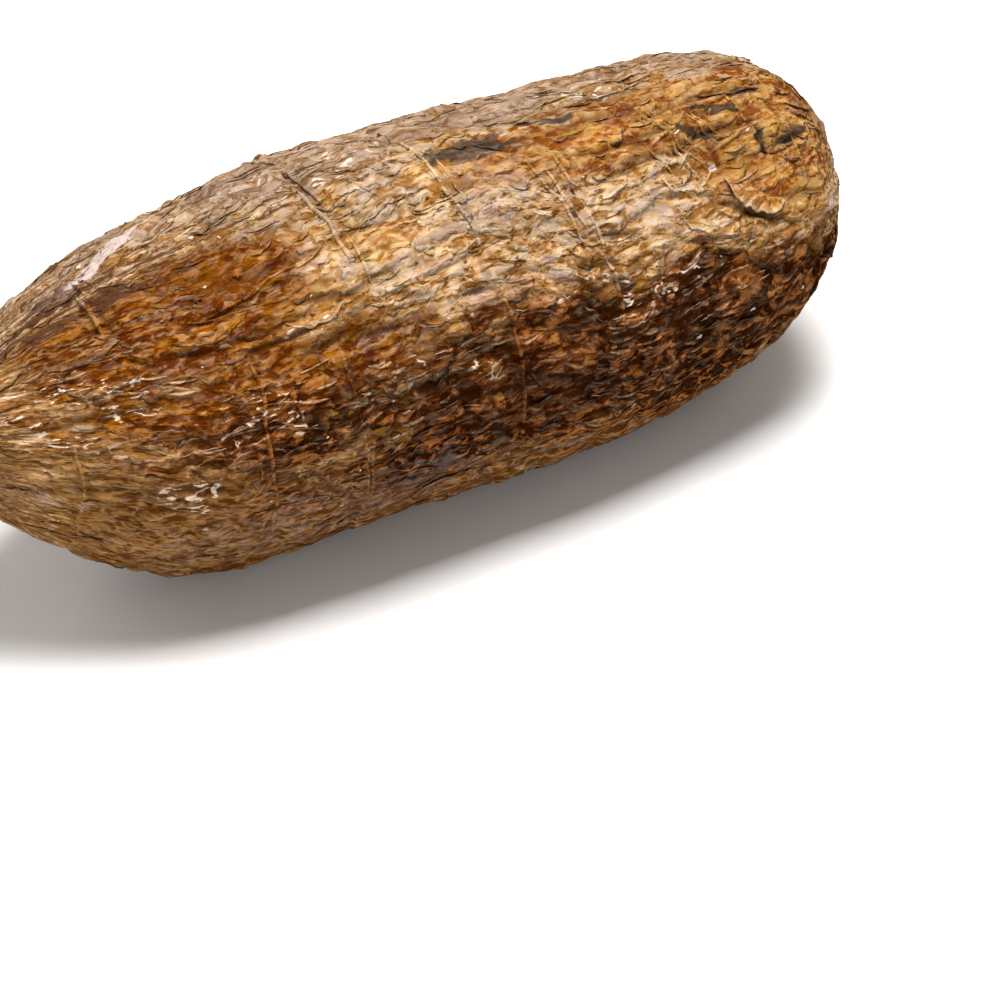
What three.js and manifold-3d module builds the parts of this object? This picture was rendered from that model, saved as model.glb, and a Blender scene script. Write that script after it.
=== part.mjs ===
// A whole cassava root lying on its side: a fat spindle in rough flaking bark, with its snapped tail at -X and the
// scar of the cut stem neck at +X. It grew as one piece, so it is one closed solid: the bark's ridges, plates, growth
// rings and lifted flakes are all part of its surface. It lies on a small flat under its weight.
// Millimetres, +Z up. The origin is on the surface that the root lies on, under the middle of the root's box.
import * as THREE from "three";
import { mergeVertices } from "three/addons/utils/BufferGeometryUtils.js";
import Module from "manifold-3d";

// ---- The body ----
const LENGTH = 255; // tail tip to the foot of the neck
const TAIL_RUN = 76; // length over which the tail tapers
const TAIL_POWER = 1.42; // 0.5 closes like a ball, 1 like a cone, more draws the tail out thin
const TAIL_RADIUS = 4.5; // the snapped tail
const HEAD_RUN = 38; // length over which the blunt stem end closes
const HEAD_POWER = 0.6;
const NECK_RADIUS = 9;
const WIDTH_SHARE = 1.02; // the section is a little wider than it is tall
const HEIGHT_SHARE = 0.98;
// Even stations from tail to neck: the body's radius, and how far its middle bows sideways and stands above the floor.
const STATIONS = [
  { radius: 32.5, bow: 4.0, height: 52.0 },
  { radius: 39.5, bow: 0.0, height: 40.6 },
  { radius: 44.0, bow: -1.5, height: 42.4 },
  { radius: 42.5, bow: -0.5, height: 41.1 },
  { radius: 39.8, bow: 2.0, height: 43.2 },
];
// The ends lean: each millimetre of height above the middle shifts the section this far along the root.
const HEAD_LEAN = { share: 0.165, from: 0.6 };
const TAIL_LEAN = { share: 0.096, from: 0.4 };
const CENTRE_X = -1.3; // moves the middle of the box over the origin
const CENTRE_Y = 1.5;

// ---- The bark's relief ----
const RIDGES = 22; // long ridges round the root
const LUMP = { height: 1.5, length: 58, around: 5 };
const MEANDER = { ridges: 0.6, length: 24, around: 7 }; // how far a groove wanders sideways
const WOBBLE = { height: 3.2, length: 62, around: 5 }; // how far a growth ring wanders along the root
const GROOVE = { depth: 1.6, halfWidth: 0.2, length: 15 }; // half width in ridges
const STEP = { height: 1.0, length: 16 }; // one ridge stands higher than the next
const CROWN = 0.45; // a ridge's middle over its edges
const PLATE = { length: 16, tilt: 1.3, crack: 0.8, crackWidth: 2.4 }; // plates along a ridge, overlapping like tiles
const RING = { height: 0.8, width: 1.5, fade: 1.2 }; // raised thread of a growth ring, and its fading end in ridges
// Growth rings: distance from the tail, and the ridges between which the thread stands up.
const RINGS = [
  { at: 39, from: 7.5, to: 12.5 },
  { at: 54, from: 4, to: 7.5 },
  { at: 78, from: 8.5, to: 15 },
  { at: 100, from: 9, to: 13 },
  { at: 113, from: 2, to: 8 },
  { at: 140, from: 4, to: 12.5 },
  { at: 167, from: 6, to: 10 },
  { at: 197, from: 5, to: 8.5 },
  { at: 221, from: 13, to: 20 },
];
const FULL_RELIEF_RADIUS = 24; // below this radius the relief shrinks with the root

// ---- The mesh: rows along the root, and three columns to a ridge ----
const ROWS = 38;
const ROW_CROWDING = 0.45; // 0 spaces rows evenly, 1 crowds them at the ends
const RING_SIDE_ROW = 2.4; // a row this far either side of each ring
const COLUMN_SHARES = [0, 0.2, 0.8]; // bottom of the groove, then the two edges of the ridge
const NECK_ROWS = [
  { radius: 9.6, out: 2.4 },
  { radius: 7.6, out: 3.0 },
  { radius: 6.6, out: 1.6 },
];
const NECK_MIDDLE = 2.0;
const TAIL_ROWS = [{ radius: 3.0, out: 1.3 }];
const TAIL_MIDDLE = 0.5;

// ---- The lifted flakes of bark ----
const FLAKES = 46;
const FLAKE = {
  length: [9, 20],
  width: [4.4, 6.4], // a little under half of it is sunk
  lift: [0.6, 1.4],
  turn: 0.5, // radians either way from lying straight along the root
  thickness: 0.8,
  root: 1.2, // depth to which the held edge is sunk
  clearOfFloor: 14,
};
const FLAKE_GRID = { along: 3, across: 1 };
// The one large torn flake near the stem end: place from the tail, ridge that it grows from, and sizes.
const TORN_FLAKE = { at: 211, ridge: 8.4, length: 24, width: 11, lift: 2.2, turn: -0.45 };

const BARK = new THREE.MeshStandardMaterial({
  color: 0x8a5c2e,
  roughness: 0.72,
  metalness: 0,
});

// ---- Seeded noise ----

/** A number from 0 to 1 that depends on the two whole numbers and the seed alone. */
function hash(i, j, seed) {
  let h = Math.imul(i, 0x27d4eb2d) ^ Math.imul(j, 0x165667b1) ^ Math.imul(seed, 0x9e3779b1);
  h = Math.imul(h ^ (h >>> 15), 0x85ebca6b);
  h = Math.imul(h ^ (h >>> 13), 0xc2b2ae35);
  return ((h ^ (h >>> 16)) >>> 0) / 2 ** 32;
}

const ease = (t) => t * t * (3 - 2 * t);
const mix = (a, b, t) => a + (b - a) * t;
const clamp01 = (t) => Math.min(1, Math.max(0, t));
const wrap = (i, n) => ((i % n) + n) % n;

/** Smooth noise from -1 to 1 over a lattice that repeats every `around` cells in its second direction. */
function noise(a, b, around, seed) {
  const i = Math.floor(a);
  const j = Math.floor(b);
  const corner = (di, dj) => hash(i + di, wrap(j + dj, around), seed) * 2 - 1;
  const s = ease(a - i);
  const t = ease(b - j);
  return mix(mix(corner(0, 0), corner(0, 1), t), mix(corner(1, 0), corner(1, 1), t), s);
}

/** The value of a smooth curve through evenly spaced stations, at t from 0 to 1. */
function through(key, t) {
  const last = STATIONS.length - 1;
  const at = (i) => STATIONS[Math.min(last, Math.max(0, i))][key];
  const i = Math.min(last - 1, Math.floor(t * last));
  const f = t * last - i;
  const [p0, p1, p2, p3] = [at(i - 1), at(i), at(i + 1), at(i + 2)];
  const slope1 = (p2 - p0) / 2;
  const slope2 = (p3 - p1) / 2;
  const bend = 2 * (p1 - p2) + slope1 + slope2;
  return p1 + f * (slope1 + f * (3 * (p2 - p1) - 2 * slope1 - slope2 + f * bend));
}

// ---- The body's surface: `along` is the distance from the tail, `ridge` the place round the root in ridges ----

function bodyRadius(along) {
  const tail = clamp01(along / TAIL_RUN);
  const head = clamp01((LENGTH - along) / HEAD_RUN);
  const body = through("radius", along / LENGTH);
  const tapered = TAIL_RADIUS + (body - TAIL_RADIUS) * (1 - (1 - tail) ** 2) ** TAIL_POWER;
  return NECK_RADIUS + (tapered - NECK_RADIUS) * (1 - (1 - head) ** 2) ** HEAD_POWER;
}

/** Fades to nothing at both ends of the root. */
const fadeEnds = (along) => Math.sin(Math.PI * clamp01(along / LENGTH)) ** 0.5;

/** Places a ring of the given radius, raised by `height` along the surface and moved `out` along the root. */
function place(along, ridge, radius, height, lean) {
  const share = along / LENGTH;
  const wander = noise(along / MEANDER.length, (ridge * MEANDER.around) / RIDGES, MEANDER.around, 2);
  const angle = (2 * Math.PI * (ridge + MEANDER.ridges * wander)) / RIDGES;
  const across = Math.cos(angle) * WIDTH_SHARE;
  const up = Math.sin(angle) * HEIGHT_SHARE;
  const headLean = HEAD_LEAN.share * clamp01((share - HEAD_LEAN.from) / (1 - HEAD_LEAN.from)) ** 2;
  const tailLean = TAIL_LEAN.share * clamp01((TAIL_LEAN.from - share) / TAIL_LEAN.from) ** 2;
  const wobble = WOBBLE.height * fadeEnds(along)
    * noise(along / WOBBLE.length, (ridge * WOBBLE.around) / RIDGES, WOBBLE.around, 8);
  const reach = radius + height * lean.radial;
  return new THREE.Vector3(
    along - LENGTH / 2 + CENTRE_X + wobble + height * lean.axial + (headLean + tailLean) * up * reach,
    CENTRE_Y + through("bow", share) + across * reach,
    through("height", share) + up * reach,
  );
}

/** How the surface's outward direction at a place along the root splits into radial and axial shares. */
function outward(along) {
  const step = 0.5;
  const low = Math.max(0, along - step);
  const high = Math.min(LENGTH, along + step);
  const slope = (bodyRadius(high) - bodyRadius(low)) / (high - low);
  const size = Math.hypot(1, slope);
  return { radial: 1 / size, axial: -slope / size };
}

// ---- The relief, in millimetres above the body ----

const lumps = (along, ridge) =>
  LUMP.height * noise(along / LUMP.length, (ridge * LUMP.around) / RIDGES, LUMP.around, 1);

/** One plate of bark: tilted, so that its end towards the tail stands over the plate behind, with a crack between. */
function plateHeight(along, ridge) {
  const shift = hash(ridge, 0, 5);
  const edge = (m) => (m + 0.5 * hash(m, ridge, 6) - shift) * PLATE.length;
  let m = Math.floor(along / PLATE.length + shift);
  if (edge(m) > along) m -= 1;
  if (edge(m + 1) <= along) m += 1;
  const share = (along - edge(m)) / (edge(m + 1) - edge(m));
  const nearest = Math.min(along - edge(m), edge(m + 1) - along);
  const crack = PLATE.crack * Math.exp(-((nearest / PLATE.crackWidth) ** 2));
  return PLATE.tilt * (0.4 + 0.6 * hash(m, ridge, 7)) * (0.5 - share) - crack;
}

/** The height of a ridge's top, different from its neighbours'. */
const ridgeTop = (along, ridge) =>
  STEP.height * noise(along / STEP.length, ridge, RIDGES, 4) + plateHeight(along, wrap(ridge, RIDGES));

const grooveDepth = (along, groove) =>
  GROOVE.depth * ease(clamp01(0.55 + 0.9 * noise(along / GROOVE.length, groove, RIDGES, 3)));

/** Ridges and the grooves between them, which fade in and out along the root. */
function ridges(along, place) {
  const ridge = Math.floor(place);
  const share = place - ridge;
  const toGroove = Math.min(share, 1 - share);
  const nearest = share < 0.5 ? ridge : ridge + 1;
  const top = ridgeTop(along, ridge);
  if (toGroove >= GROOVE.halfWidth) return top + CROWN * (1 - (2 * share - 1) ** 2);
  const neighbour = ridgeTop(along, share < 0.5 ? ridge - 1 : ridge + 1);
  const edge = ease(toGroove / GROOVE.halfWidth);
  const crown = CROWN * (1 - (2 * share - 1) ** 2);
  return mix((top + neighbour) / 2 - grooveDepth(along, nearest), top + crown, edge);
}

/** The raised threads of the growth rings, each over its own stretch of the root's girth. */
function rings(along, ridge) {
  let height = 0;
  for (const { at, from, to } of RINGS) {
    const inside = Math.min(ridge - from, to - ridge);
    height += RING.height * ease(clamp01(inside / RING.fade)) * Math.exp(-(((along - at) / RING.width) ** 2));
  }
  return height;
}

/** A point of the bark. */
function barkPoint(along, ridge) {
  const radius = bodyRadius(along);
  const strength = Math.min(1, radius / FULL_RELIEF_RADIUS);
  const relief = lumps(along, ridge) + ridges(along, ridge) + rings(along, ridge);
  const point = place(along, ridge, radius, relief * strength, outward(along));
  point.z = Math.max(0, point.z);
  return point;
}

// ---- The root's skin ----

/** Places along the root that carry a row of the mesh: an even spread, with three rows at each growth ring. */
function rowPlaces() {
  const ringRows = RINGS.flatMap(({ at }) => [at - RING_SIDE_ROW, at, at + RING_SIDE_ROW]);
  const spread = Array.from({ length: ROWS + 1 }, (_, i) => {
    const even = i / ROWS;
    return LENGTH * mix(even, 0.5 - 0.5 * Math.cos(Math.PI * even), ROW_CROWDING);
  });
  const clear = spread.filter((s) => ringRows.every((r) => Math.abs(s - r) > RING_SIDE_ROW / 2));
  return [...clear, ...ringRows].sort((a, b) => a - b);
}

/** The whole skin as one closed surface, from the middle of the tail's end to the middle of the neck's. */
function skinGeometry() {
  const columns = Array.from({ length: RIDGES }, (_, k) => COLUMN_SHARES.map((share) => k + share)).flat();
  const straight = { radial: 1, axial: 0 };
  const flatRow = (along, row, sign) =>
    columns.map((ridge) => place(along, ridge, row.radius * (0.96 + 0.08 * hash(ridge * 10, 1, 11)), 0, straight)
      .add(new THREE.Vector3(sign * row.out, 0, 0)));
  const rows = [
    ...[...TAIL_ROWS].reverse().map((row) => flatRow(0, row, -1)),
    ...rowPlaces().map((along) => columns.map((ridge) => barkPoint(along, ridge))),
    ...NECK_ROWS.map((row) => flatRow(LENGTH, row, 1)),
  ];
  const tailMiddle = place(0, 0, 0, 0, straight).add(new THREE.Vector3(-TAIL_MIDDLE, 0, 0));
  const neckMiddle = place(LENGTH, 0, 0, 0, straight).add(new THREE.Vector3(NECK_MIDDLE, 0, 0));
  const points = [...rows.flat(), tailMiddle, neckMiddle];
  const count = columns.length;
  const index = [];
  for (let row = 0; row + 1 < rows.length; row++)
    for (let c = 0; c < count; c++) {
      const next = (c + 1) % count;
      const [a, b] = [row * count + c, row * count + next];
      const [d, e] = [a + count, b + count];
      index.push(a, b, e, a, e, d);
    }
  const lastRow = (rows.length - 1) * count;
  for (let c = 0; c < count; c++) {
    const next = (c + 1) % count;
    index.push(points.length - 2, next, c);
    index.push(points.length - 1, lastRow + c, lastRow + next);
  }
  return geometryOf(points, index);
}

function geometryOf(points, index) {
  const geometry = new THREE.BufferGeometry();
  geometry.setAttribute("position", new THREE.Float32BufferAttribute(points.flatMap((p) => [p.x, p.y, p.z]), 3));
  geometry.setIndex(index);
  return geometry;
}

// ---- Lifted flakes ----

/** The place, outward direction, and directions along and round the root at a point of the bark. */
function frameAt(along, ridge) {
  const smooth = (s, v) => place(s, v, bodyRadius(s), 0, outward(s));
  const lengthwise = smooth(along + 1, ridge).sub(smooth(along - 1, ridge)).normalize();
  const roundwise = smooth(along, ridge + 0.1).sub(smooth(along, ridge - 0.1)).normalize();
  const normal = new THREE.Vector3().crossVectors(roundwise, lengthwise).normalize();
  return { origin: barkPoint(along, ridge), lengthwise, roundwise, normal };
}

/**
 * One flake: a thin curved blade, sunk into the bark along one long edge and lifted at the other.
 * `side` is 1 or -1, the way round the root in which it lifts.
 */
function flakeGeometry({ at, ridge, length, width, lift, turn, side, ragged }) {
  const { origin, lengthwise, roundwise, normal } = frameAt(at, ridge);
  const long = lengthwise.clone().applyAxisAngle(normal, turn);
  const wide = roundwise.clone().applyAxisAngle(normal, turn).multiplyScalar(side);
  const { along: n, across: m } = FLAKE_GRID;
  const point = (i, j, below) => {
    const a = (2 * i) / n - 1;
    const b = j / m;
    const reach = width * b * (1 - 0.45 * a ** 2 + 0.25 * (hash(ragged, i, 12) - 0.5));
    const rise = mix(-FLAKE.root, lift * (0.8 + 0.4 * hash(ragged, i, 13)), b);
    const thickness = below ? FLAKE.thickness : 0;
    return origin.clone()
      .addScaledVector(long, (a * length * (1 - 0.2 * b)) / 2)
      .addScaledVector(wide, reach)
      .addScaledVector(normal, rise - thickness - reach ** 2 / (2 * bodyRadius(at)));
  };
  const points = [];
  for (const below of [false, true])
    for (let i = 0; i <= n; i++) for (let j = 0; j <= m; j++) points.push(point(i, j, below));
  const top = (i, j) => i * (m + 1) + j;
  const bottom = (i, j) => (n + 1) * (m + 1) + top(i, j);
  const faces = [];
  const quad = (a, b, c, d) => faces.push([a, b, c], [a, c, d]);
  for (let i = 0; i < n; i++)
    for (let j = 0; j < m; j++) {
      quad(top(i, j), top(i + 1, j), top(i + 1, j + 1), top(i, j + 1));
      faces.push([bottom(i, j), bottom(i + 1, j + 1), bottom(i + 1, j)]);
      faces.push([bottom(i, j), bottom(i, j + 1), bottom(i + 1, j + 1)]);
    }
  for (let i = 0; i < n; i++) {
    quad(top(i, 0), bottom(i, 0), bottom(i + 1, 0), top(i + 1, 0));
    quad(top(i, m), top(i + 1, m), bottom(i + 1, m), bottom(i, m));
  }
  for (let j = 0; j < m; j++) {
    quad(top(0, j), top(0, j + 1), bottom(0, j + 1), bottom(0, j));
    quad(top(n, j), bottom(n, j), bottom(n, j + 1), top(n, j + 1));
  }
  const index = faces.flatMap(([a, b, c]) => (side > 0 ? [a, c, b] : [a, b, c]));
  return geometryOf(points, index);
}

/** The flakes' places and sizes, drawn by seed and kept clear of the floor and of the two ends. */
function flakePlaces() {
  const between = ([low, high], draw) => mix(low, high, draw);
  const chosen = [];
  for (let k = 0; chosen.length < FLAKES; k++) {
    const at = mix(20, LENGTH - 26, hash(k, 1, 21));
    const ridge = RIDGES * hash(k, 2, 21);
    if (frameAt(at, ridge).origin.z < FLAKE.clearOfFloor) continue;
    const small = Math.min(1, bodyRadius(at) / FULL_RELIEF_RADIUS);
    chosen.push({
      at,
      ridge,
      length: between(FLAKE.length, hash(k, 3, 21)) * small,
      width: between(FLAKE.width, hash(k, 4, 21)) * small,
      lift: between(FLAKE.lift, hash(k, 5, 21)),
      turn: between([-FLAKE.turn, FLAKE.turn], hash(k, 7, 21)),
      side: hash(k, 6, 21) < 0.5 ? 1 : -1,
      ragged: k,
    });
  }
  return [...chosen, { ...TORN_FLAKE, side: 1, ragged: FLAKES * 9 }];
}

// ---- Joining ----

const wasm = await Module();
wasm.setup();

function solidOf(geometry) {
  const merged = mergeVertices(geometry, 1e-4);
  return new wasm.Manifold(new wasm.Mesh({
    numProp: 3,
    vertProperties: new Float32Array(merged.attributes.position.array),
    triVerts: new Uint32Array(merged.index.array),
  }));
}

/** The skin with every flake fused into it, as one body. */
function rootGeometry() {
  let solid = solidOf(skinGeometry());
  for (const flake of flakePlaces()) solid = solid.add(solidOf(flakeGeometry(flake)));
  const [whole] = solid.decompose().sort((a, b) => b.volume() - a.volume());
  const mesh = whole.getMesh();
  const geometry = new THREE.BufferGeometry();
  geometry.setAttribute("position", new THREE.BufferAttribute(mesh.vertProperties, mesh.numProp));
  geometry.setIndex(new THREE.BufferAttribute(mesh.triVerts, 1));
  geometry.computeVertexNormals();
  return geometry;
}

const root = new THREE.Mesh(rootGeometry(), BARK);
root.name = "cassava_root";

const group = new THREE.Group();
group.add(root);

export default group;
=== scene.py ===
"""The looks of a whole cassava root lying on its side.

The root is one thing, so its pieces here are layers of one surface: the bark itself, the flakes and
splinters that lift from it, the threads of its growth rings, the wood of its cut neck and the frayed
end of its tail. They follow the same form as the solid, whose driving sizes RootForm repeats.

Lengths are in millimetres up to the point where a mesh is written, and meshes are in metres.
A place on the bark is `along`, the distance from the tail, and `ridge`, the place round the girth
counted in the root's long ridges. Angles round the girth start at +Y and pass over the top.
"""
import logging
from dataclasses import dataclass, replace
from enum import Enum
from functools import partial

import bpy
import numpy as np
from bpy.types import Collection, Material, Mesh, NodeSocket, NodeTree, Object
from mathutils import Matrix, Vector


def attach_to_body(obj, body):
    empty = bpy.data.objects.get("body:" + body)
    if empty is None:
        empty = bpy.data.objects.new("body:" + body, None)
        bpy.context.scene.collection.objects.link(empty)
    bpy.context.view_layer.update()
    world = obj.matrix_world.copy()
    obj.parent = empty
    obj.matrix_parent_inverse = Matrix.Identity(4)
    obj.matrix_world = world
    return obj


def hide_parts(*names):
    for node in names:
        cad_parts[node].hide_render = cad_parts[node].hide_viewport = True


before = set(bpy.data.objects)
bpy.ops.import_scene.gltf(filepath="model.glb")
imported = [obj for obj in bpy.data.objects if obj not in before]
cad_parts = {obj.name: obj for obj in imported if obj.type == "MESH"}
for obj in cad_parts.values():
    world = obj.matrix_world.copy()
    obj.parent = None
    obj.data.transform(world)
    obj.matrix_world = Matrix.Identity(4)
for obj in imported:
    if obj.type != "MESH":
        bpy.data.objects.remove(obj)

logging.basicConfig(level=logging.INFO, format="%(message)s")
log = logging.getLogger("cassava")

MM = 0.001  # metres in a millimetre
SURFACE_STEPS = 4001  # places between which the way over the root's surface is summed
Pair = tuple[float, float]  # two numbers that go together, such as a least and a greatest value
Samples = dict[str, np.ndarray]  # the bark's values at each place, by name
NODE = "cassava_root"
BODY = "root"
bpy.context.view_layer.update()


# ---- Small tools ----


def linear(hex_code: str) -> tuple[float, float, float, float]:
    """Turns an sRGB hex colour into the linear RGBA that shaders take.

    Args:
        hex_code: six hex digits, with or without a leading #.

    Returns:
        Linear red, green and blue, and an alpha of 1.
    """
    digits = hex_code.lstrip("#")
    channels = [int(digits[i : i + 2], 16) / 255 for i in (0, 2, 4)]
    curve = [c / 12.92 if c <= 0.04045 else ((c + 0.055) / 1.055) ** 2.4 for c in channels]
    return (curve[0], curve[1], curve[2], 1.0)


def wire(tree: NodeTree, kind: str, inputs: dict | tuple = (), out: int | str = 0, **settings: object) -> NodeSocket:
    """Adds a node, sets it up and links it.

    Args:
        tree: the tree that the node joins.
        kind: Blender's name for the node's type, and settings that go with it after colons.
        inputs: values to set or output sockets to link from, in order or by the input's name.
        out: which output to return.
        **settings: properties of the node itself.

    Returns:
        One of the new node's output sockets, or the node itself where it has none.
    """
    kind, *preset = kind.split(":")
    made = tree.nodes.new(kind)
    for name, value in (*(pair.split("=") for pair in preset), *settings.items()):
        setattr(made, name, value)
    for key, value in inputs.items() if isinstance(inputs, dict) else enumerate(inputs):
        if isinstance(value, NodeSocket):
            tree.links.new(value, made.inputs[key])
        else:
            made.inputs[key].default_value = value
    return made.outputs[out] if len(made.outputs) else made


def ease(t: np.ndarray) -> np.ndarray:
    """Eases from 0 to 1 over 0 to 1."""
    return t * t * (3 - 2 * t)


def smoothstep(low: float, high: float, value: np.ndarray) -> np.ndarray:
    """Eases from 0 at low to 1 at high."""
    return ease(np.clip((value - low) / (high - low), 0.0, 1.0))


def hash_of(i: np.ndarray, j: np.ndarray, seed: int) -> np.ndarray:
    """Numbers from 0 to 1 that depend on two whole numbers and a seed alone.

    Args:
        i: first whole numbers.
        j: second whole numbers, of a shape that fits the first.
        seed: the pattern's seed.

    Returns:
        One number for each pair.
    """
    i, j = np.broadcast_arrays(np.asarray(i, np.int64), np.asarray(j, np.int64))
    with np.errstate(over="ignore"):
        h = i.astype(np.uint32) * np.uint32(0x27D4EB2D)
        h = h ^ (j.astype(np.uint32) * np.uint32(0x165667B1))
        h = h ^ np.uint32((seed * 0x9E3779B1) & 0xFFFFFFFF)
        h = (h ^ (h >> np.uint32(15))) * np.uint32(0x85EBCA6B)
        h = (h ^ (h >> np.uint32(13))) * np.uint32(0xC2B2AE35)
        h = h ^ (h >> np.uint32(16))
    return h.astype(np.float64) / 2.0**32


def lattice_noise(a: np.ndarray, b: np.ndarray, around: int, seed: int) -> np.ndarray:
    """Smooth noise from -1 to 1 on a lattice that closes on itself in its second direction.

    Args:
        a: first coordinate, in cells.
        b: second coordinate, in cells.
        around: cells after which the second direction repeats.
        seed: the pattern's seed.

    Returns:
        The noise at each place.
    """
    i, j = np.floor(a).astype(np.int64), np.floor(b).astype(np.int64)
    s, t = ease(a - i), ease(b - j)

    def corner(di: int, dj: int) -> np.ndarray:
        """The lattice's value at one corner of the cell."""
        return hash_of(i + di, (j + dj) % around, seed) * 2 - 1

    near = corner(0, 0) * (1 - t) + corner(0, 1) * t
    far = corner(1, 0) * (1 - t) + corner(1, 1) * t
    return near * (1 - s) + far * s


# ---- The root's form and the relief that the solid has too ----


@dataclass(frozen=True)
class RootForm:
    """The root's body, with the same driving sizes as the solid's source."""

    length: float = 255.0
    tail_run: float = 76.0
    tail_power: float = 1.42
    tail_radius: float = 4.5
    head_run: float = 38.0
    head_power: float = 0.6
    neck_radius: float = 9.0
    width_share: float = 1.02
    height_share: float = 0.98
    radii: tuple[float, ...] = (32.5, 39.5, 44.0, 42.5, 39.8)
    bows: tuple[float, ...] = (4.0, 0.0, -1.5, -0.5, 2.0)
    heights: tuple[float, ...] = (52.0, 40.6, 42.4, 41.1, 43.2)
    head_lean: Pair = (0.165, 0.6)
    tail_lean: Pair = (0.096, 0.4)
    centre_x: float = -1.3
    centre_y: float = 1.5
    ridges: int = 22
    meander: float = 0.6  # ridges by which a groove wanders
    meander_length: float = 24.0
    meander_around: int = 7
    wobble: float = 3.2  # distance by which a growth ring wanders
    wobble_length: float = 62.0
    wobble_around: int = 5
    full_relief_radius: float = 24.0

    def through(self, values: tuple[float, ...], share: np.ndarray) -> np.ndarray:
        """A smooth curve through evenly spaced stations.

        Args:
            values: the stations' values.
            share: place along the root, from 0 to 1.

        Returns:
            The curve's value at each place.
        """
        points = np.array(values, float)
        last = len(points) - 1
        i = np.minimum(last - 1, np.floor(share * last).astype(int))
        f = share * last - i
        p0, p1, p2, p3 = (points[np.clip(i + k, 0, last)] for k in (-1, 0, 1, 2))
        slope1, slope2 = (p2 - p0) / 2, (p3 - p1) / 2
        bend = 2 * (p1 - p2) + slope1 + slope2
        return p1 + f * (slope1 + f * (3 * (p2 - p1) - 2 * slope1 - slope2 + f * bend))

    def radius(self, along: np.ndarray) -> np.ndarray:
        """The body's radius, before any relief.

        Args:
            along: distances from the tail.

        Returns:
            The radius at each of them.
        """
        tail = np.clip(along / self.tail_run, 0, 1)
        head = np.clip((self.length - along) / self.head_run, 0, 1)
        body = self.through(self.radii, along / self.length)
        tapered = self.tail_radius + (body - self.tail_radius) * (1 - (1 - tail) ** 2) ** self.tail_power
        return self.neck_radius + (tapered - self.neck_radius) * (1 - (1 - head) ** 2) ** self.head_power

    def strength(self, along: np.ndarray) -> np.ndarray:
        """How much of the relief shows: less where the root is thin."""
        return np.minimum(1, self.radius(along) / self.full_relief_radius)

    def angle(self, along: np.ndarray, ridge: np.ndarray) -> np.ndarray:
        """The angle round the girth, which wanders as the grooves do.

        Args:
            along: distance from the tail.
            ridge: place round the girth, counted in ridges.

        Returns:
            The angle in radians.
        """
        cells = ridge * self.meander_around / self.ridges
        wander = lattice_noise(along / self.meander_length, cells, self.meander_around, 2)
        return 2 * np.pi * (ridge + self.meander * wander) / self.ridges

    def place(self, along: np.ndarray, ridge: np.ndarray, height: np.ndarray) -> np.ndarray:
        """Points of the surface.

        Args:
            along: distance from the tail.
            ridge: place round the girth, in ridges.
            height: height above the body.

        Returns:
            Points in millimetres, in the root's frame, with a last axis of three.
        """
        share = along / self.length
        angle = self.angle(along, ridge)
        across = np.cos(angle) * self.width_share
        up = np.sin(angle) * self.height_share
        lean = self.head_lean[0] * np.clip((share - self.head_lean[1]) / (1 - self.head_lean[1]), 0, 1) ** 2
        lean = lean + self.tail_lean[0] * np.clip((self.tail_lean[1] - share) / self.tail_lean[1], 0, 1) ** 2
        cells = ridge * self.wobble_around / self.ridges
        fade = np.sqrt(np.maximum(0, np.sin(np.pi * np.clip(share, 0, 1))))
        wobble = self.wobble * fade * lattice_noise(along / self.wobble_length, cells, self.wobble_around, 8)
        step = 0.5
        low, high = np.maximum(0, along - step), np.minimum(self.length, along + step)
        slope = (self.radius(high) - self.radius(low)) / (high - low)
        size = np.hypot(1, slope)
        reach = self.radius(along) + height / size
        x = along - self.length / 2 + self.centre_x + wobble - height * slope / size + lean * up * reach
        y = self.centre_y + self.through(self.bows, share) + across * reach
        z = self.through(self.heights, share) + up * reach
        return np.stack([x, y, z], -1)


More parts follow.
